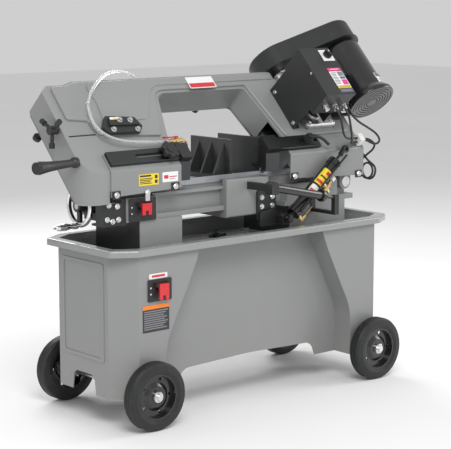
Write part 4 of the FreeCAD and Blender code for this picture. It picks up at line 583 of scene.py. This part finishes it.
# ---------------------------------------------------------------- labels
def make_labels():
    film = 0.1
    front_of_guard = GUARD_FRONT - 2 * film
    front_of_cabinet = CABINET_FRONT - 2 * film
    label("bow_plate", "arm", on_arm(-18, 765, BEAM_FRONT + film), X, UP_SLOPE, (106, 44),
          [WHITE_INK, RED_INK], [(0.03, 0.97, 0.07, 0.45, 1)], radius=3, thick=0.8)
    label("guard_notice", "arm", at(-377, front_of_guard, 705), X, Z, (72, 33),
          [YELLOW_INK, BLACK_INK], [(0.05, 0.62, 0.76, 0.92, 1)] + ruled(0.05, 0.7, 0.64, 0.08, 4, 1)
          + [(0.80, 0.94, 0.14, 0.44, 1), (0.80, 0.94, 0.56, 0.86, 1)])
    label("guard_tag", "arm", at(-298, front_of_guard, 707), X, Z, (58, 29),
          [WHITE_INK, RED_INK, GREY_INK],
          [(0.10, 0.38, 0.34, 0.70, 1), (0.44, 0.92, 0.46, 0.56, 1), (0.44, 0.80, 0.26, 0.32, 2)])
    label("cabinet_notice", "base", at(-417, front_of_cabinet, 317), X, Z, (96, 78),
          [BLACK_INK, ORANGE_INK, GREY_INK],
          [(0.0, 1.0, 0.85, 1.0, 1)] + ruled(0.05, 0.95, 0.79, 0.06, 9, 2), radius=2)
    label("cabinet_tag", "base", at(-408, front_of_cabinet, 439), X, Z, (66, 15),
          [WHITE_INK, RED_INK], [(0.14, 0.86, 0.28, 0.72, 1)])
    face = CONTROL_FRONT + film
    label("control_band", "arm", on_arm(340, 640, face), X, UP_SLOPE, (56, 11),
          [PINK_INK, WHITE_INK], [(0.2, 0.8, 0.4, 0.6, 1)], radius=1)
    label("control_chart", "arm", on_arm(340, 603, face), X, UP_SLOPE, (56, 58),
          [WHITE_INK, PINK_INK, GREY_INK, BLUE_INK],
          [(0.56, 0.97, 0.05, 0.42, 1), (0.56, 0.97, 0.66, 0.96, 2), (0.56, 0.97, 0.46, 0.62, 3)]
          + ruled(0.06, 0.48, 0.92, 0.08, 8, 2), radius=1)
    label("control_strip", "arm", on_arm(340, 568, face), X, UP_SLOPE, (56, 8),
          [YELLOW_INK, BLACK_INK], [(0.1, 0.9, 0.35, 0.6, 1)], radius=1)
    label("control_foot", "arm", on_arm(340, 554, face), X, UP_SLOPE, (56, 14),
          [BLUE_INK, GREY_INK], ruled(0.08, 0.92, 0.8, 0.15, 2, 1), radius=1)
    label("tracking_tag", "arm", on_arm(-428, 635, 607.1), X, UP_SLOPE, (34, 8),
          [WHITE_INK, YELLOW_INK], [(0.3, 0.7, 0.2, 0.8, 1)], radius=1)
    motor_plate()
    cylinder_labels()


def motor_plate():
    """The motor's data plate, bent to the cowl."""
    reach, back = COWL_R + 0.9, COWL_R - 2.6
    first, last, steps = 86, 34, 10
    bm = bmesh.new()

    def patch(a0, a1, u0, u1, r0, r1, material):
        rings = []
        for i in range(steps + 1):
            angle = math.radians(a0 + (a1 - a0) * i / steps)
            section = ((r0, u0), (r1, u0), (r1, u1), (r0, u1))
            rings.append([on_arm(MOTOR_X + math.cos(angle) * r, u, MOTOR_N + math.sin(angle) * r)
                          for r, u in section])
        add_stack(bm, rings, material)

    patch(first, last, 600, 643, back, reach, 0)
    patch(first - 1, last + 1, 628, 642, reach - 0.2, reach + 0.2, 1)
    for row in range(3):
        patch(first - 5, last + 12, 604 + 7 * row, 607 + 7 * row, reach - 0.2, reach + 0.2, 2)
    finish_piece("motor_plate", bm, "arm", [WHITE_INK, BLUE_INK, GREY_INK])


def cylinder_labels():
    """Two wrapped labels on the feed cylinder."""
    bm = bmesh.new()
    steps, under = 12, -0.3

    def wrap(s0, s1, a0, a1, over, material):
        rings = []
        for i in range(steps + 1):
            angle = math.radians(a0 + (a1 - a0) * i / steps)
            out = FEED_SIDE * math.cos(angle) - Y * math.sin(angle)
            section = ((under, s0), (over, s0), (over, s1), (under, s1))
            rings.append([at(*(CYLINDER_LOW + FEED_WAY * s + out * (CYLINDER_R + lift)))
                          for lift, s in section])
        add_stack(bm, rings, material)

    wrap(150, 212, 40, 165, 0.3, 0)
    wrap(156, 166, 50, 155, 0.5, 1)
    wrap(178, 184, 60, 150, 0.5, 2)
    wrap(194, 206, 50, 120, 0.5, 1)
    wrap(112, 142, 50, 160, 0.3, 3)
    wrap(118, 126, 70, 150, 0.5, 1)
    inks = [YELLOW_INK, RED_INK, BLACK_INK, WHITE_INK]
    finish_piece("cylinder_labels", bm, "cylinder", inks)


# ---------------------------------------------------------------- small fittings
def circle(centre, off, radius, count):
    """Points round a centre, across a direction."""
    side = off.orthogonal().normalized()
    other = off.cross(side)
    turns = [math.tau * i / count for i in range(count)]
    return [centre + (side * math.cos(turn) + other * math.sin(turn)) * radius for turn in turns]


def add_bolt(bm, centre, off, radius, height):
    """A chamfered bolt head on a washer, standing off a surface."""
    washer = [circle(centre + off * up, off, radius * 1.35, 24) for up in (0.0, 1.5 * MM)]
    levels = ((1.0, 1.5 * MM), (1.0, height * 0.8), (0.86, height))
    add_stack(bm, washer)
    add_stack(bm, [circle(centre + off * up, off, radius * scale, 6) for scale, up in levels])


def stop_tab():
    """The tab under the left guard that trips the shut-off paddle."""
    bm = bmesh.new()
    outline = [(-8, -17), (8, -17), (8, 10), (5, 16), (-5, 16), (-8, 10)]
    thick = 2.2 * MM
    add_slab(bm, [(x * MM, z * MM) for x, z in outline], 0.0, thick)
    add_bolt(bm, Vector((0, 6 * MM, thick)), Z, 6.5 * MM, 5.5 * MM)
    place = frame_matrix(at(-383, GUARD_FRONT - 0.6, 661), X, Z)
    finish_piece("stop_tab", bm, "arm", [ZINC], place)


def hose_ties():
    """Nylon ties round the coolant hose; each has a place and a direction in the arm frame."""
    ties = (((-245, 820, 569), (-46, 2, 29)), ((-343, 814, 596), (-46, -12, 4)),
            ((-487, 700, 601), (-22, -38, 0)))
    inner, outer, half = 4.6 * MM, 5.7 * MM, 1.6 * MM
    for number, (place, way) in enumerate(ties):
        bm = bmesh.new()
        along = turned(*way).normalized()
        centre = on_arm(*place)
        section = ((inner, -half), (outer, -half), (outer, half), (inner, half))
        loops = [circle(centre + along * h, along, r, 20) for r, h in section]
        add_stack(bm, list(zip(*loops)), closed=True)
        finish_piece(f"hose_tie_{number}", bm, "arm", [WHITE_PLASTIC])


def blade_teeth():
    """The toothed lower edge of the band where it stands upright between the guides."""
    bm = bmesh.new()
    y = turned(0, WHEEL_U - BLADE_R, WHEEL_N).y
    first, last, pitch = -256.0, 132.0, 3.2
    root, tip = 671.4, 668.8
    for number in range(math.ceil((last - first) / pitch)):
        x = first + number * pitch
        lean = 0.35 * ((number % 3) - 1)
        profile = ((x, 0, root), (x + pitch, 0, root), (x + pitch * 0.25, lean, tip))
        sides = [[at(px, y + dy + aside, pz) for px, aside, pz in profile]
                 for dy in (-BLADE_T / 2, BLADE_T / 2)]
        add_stack(bm, sides)
    finish_piece("blade_teeth", bm, "arm", [BLADE_STEEL])


# ---------------------------------------------------------------- stage, light and camera
def make_stage():
    bpy.ops.mesh.primitive_plane_add(size=30, location=(0, 0, 0))
    floor = bpy.context.object
    floor.name = "floor"
    pale = Finish("pale_floor", {"Specular IOR Level": 0.2})
    pale.feed("Base Color", pale.mix(pale.noise(1.2), (0.86, 0.86, 0.86), (0.90, 0.90, 0.90)))
    pale.feed("Roughness", pale.ramp(pale.noise(8.0), 0.3, 0.7, 0.75, 0.85))
    floor.data.materials.append(pale.material)


def area_light(name, place, target, size, power):
    data = bpy.data.lights.new(name, "AREA")
    data.shape = "RECTANGLE"
    data.size, data.size_y = size
    data.energy = power
    light = bpy.data.objects.new(name, data)
    bpy.context.scene.collection.objects.link(light)
    light.location = place
    light.rotation_euler = (Vector(target) - Vector(place)).to_track_quat("-Z", "Y").to_euler()


def make_light():
    bpy.context.scene.view_settings.view_transform = "Standard"
    world = bpy.data.worlds.new("studio")
    bpy.context.scene.world = world
    world.use_nodes = True
    background = world.node_tree.nodes["Background"]
    background.inputs["Color"].default_value = (1.0, 1.0, 1.0, 1.0)
    background.inputs["Strength"].default_value = 0.62
    area_light("key", (-1.6, -2.6, 3.2), (0, 0, 0.5), (1.8, 1.8), 90)
    area_light("fill", (3.4, -1.6, 1.8), (0, 0, 0.5), (1.6, 2.2), 45)
    area_light("back", (0.8, 3.0, 2.6), (0, 0, 0.8), (2.4, 1.2), 60)


def make_camera():
    """A long lens from the front left, a little above the machine."""
    azimuth, elevation = math.radians(40.62), math.radians(8.95)
    look = Vector((math.sin(azimuth) * math.cos(elevation), math.cos(azimuth) * math.cos(elevation),
                   -math.sin(elevation)))
    data = bpy.data.cameras.new("camera")
    data.sensor_width = 36
    data.lens = 121.65
    camera = bpy.data.objects.new("camera", data)
    bpy.context.scene.collection.objects.link(camera)
    camera.location = at(-3044.4, -3553.8, 1259.9)
    camera.rotation_mode = "QUATERNION"
    camera.rotation_quaternion = look.to_track_quat("-Z", "Y")
    bpy.context.scene.camera = camera


make_camera()
make_cords()
dress_all()
make_labels()
stop_tab()
hose_ties()
blade_teeth()
make_stage()
make_light()
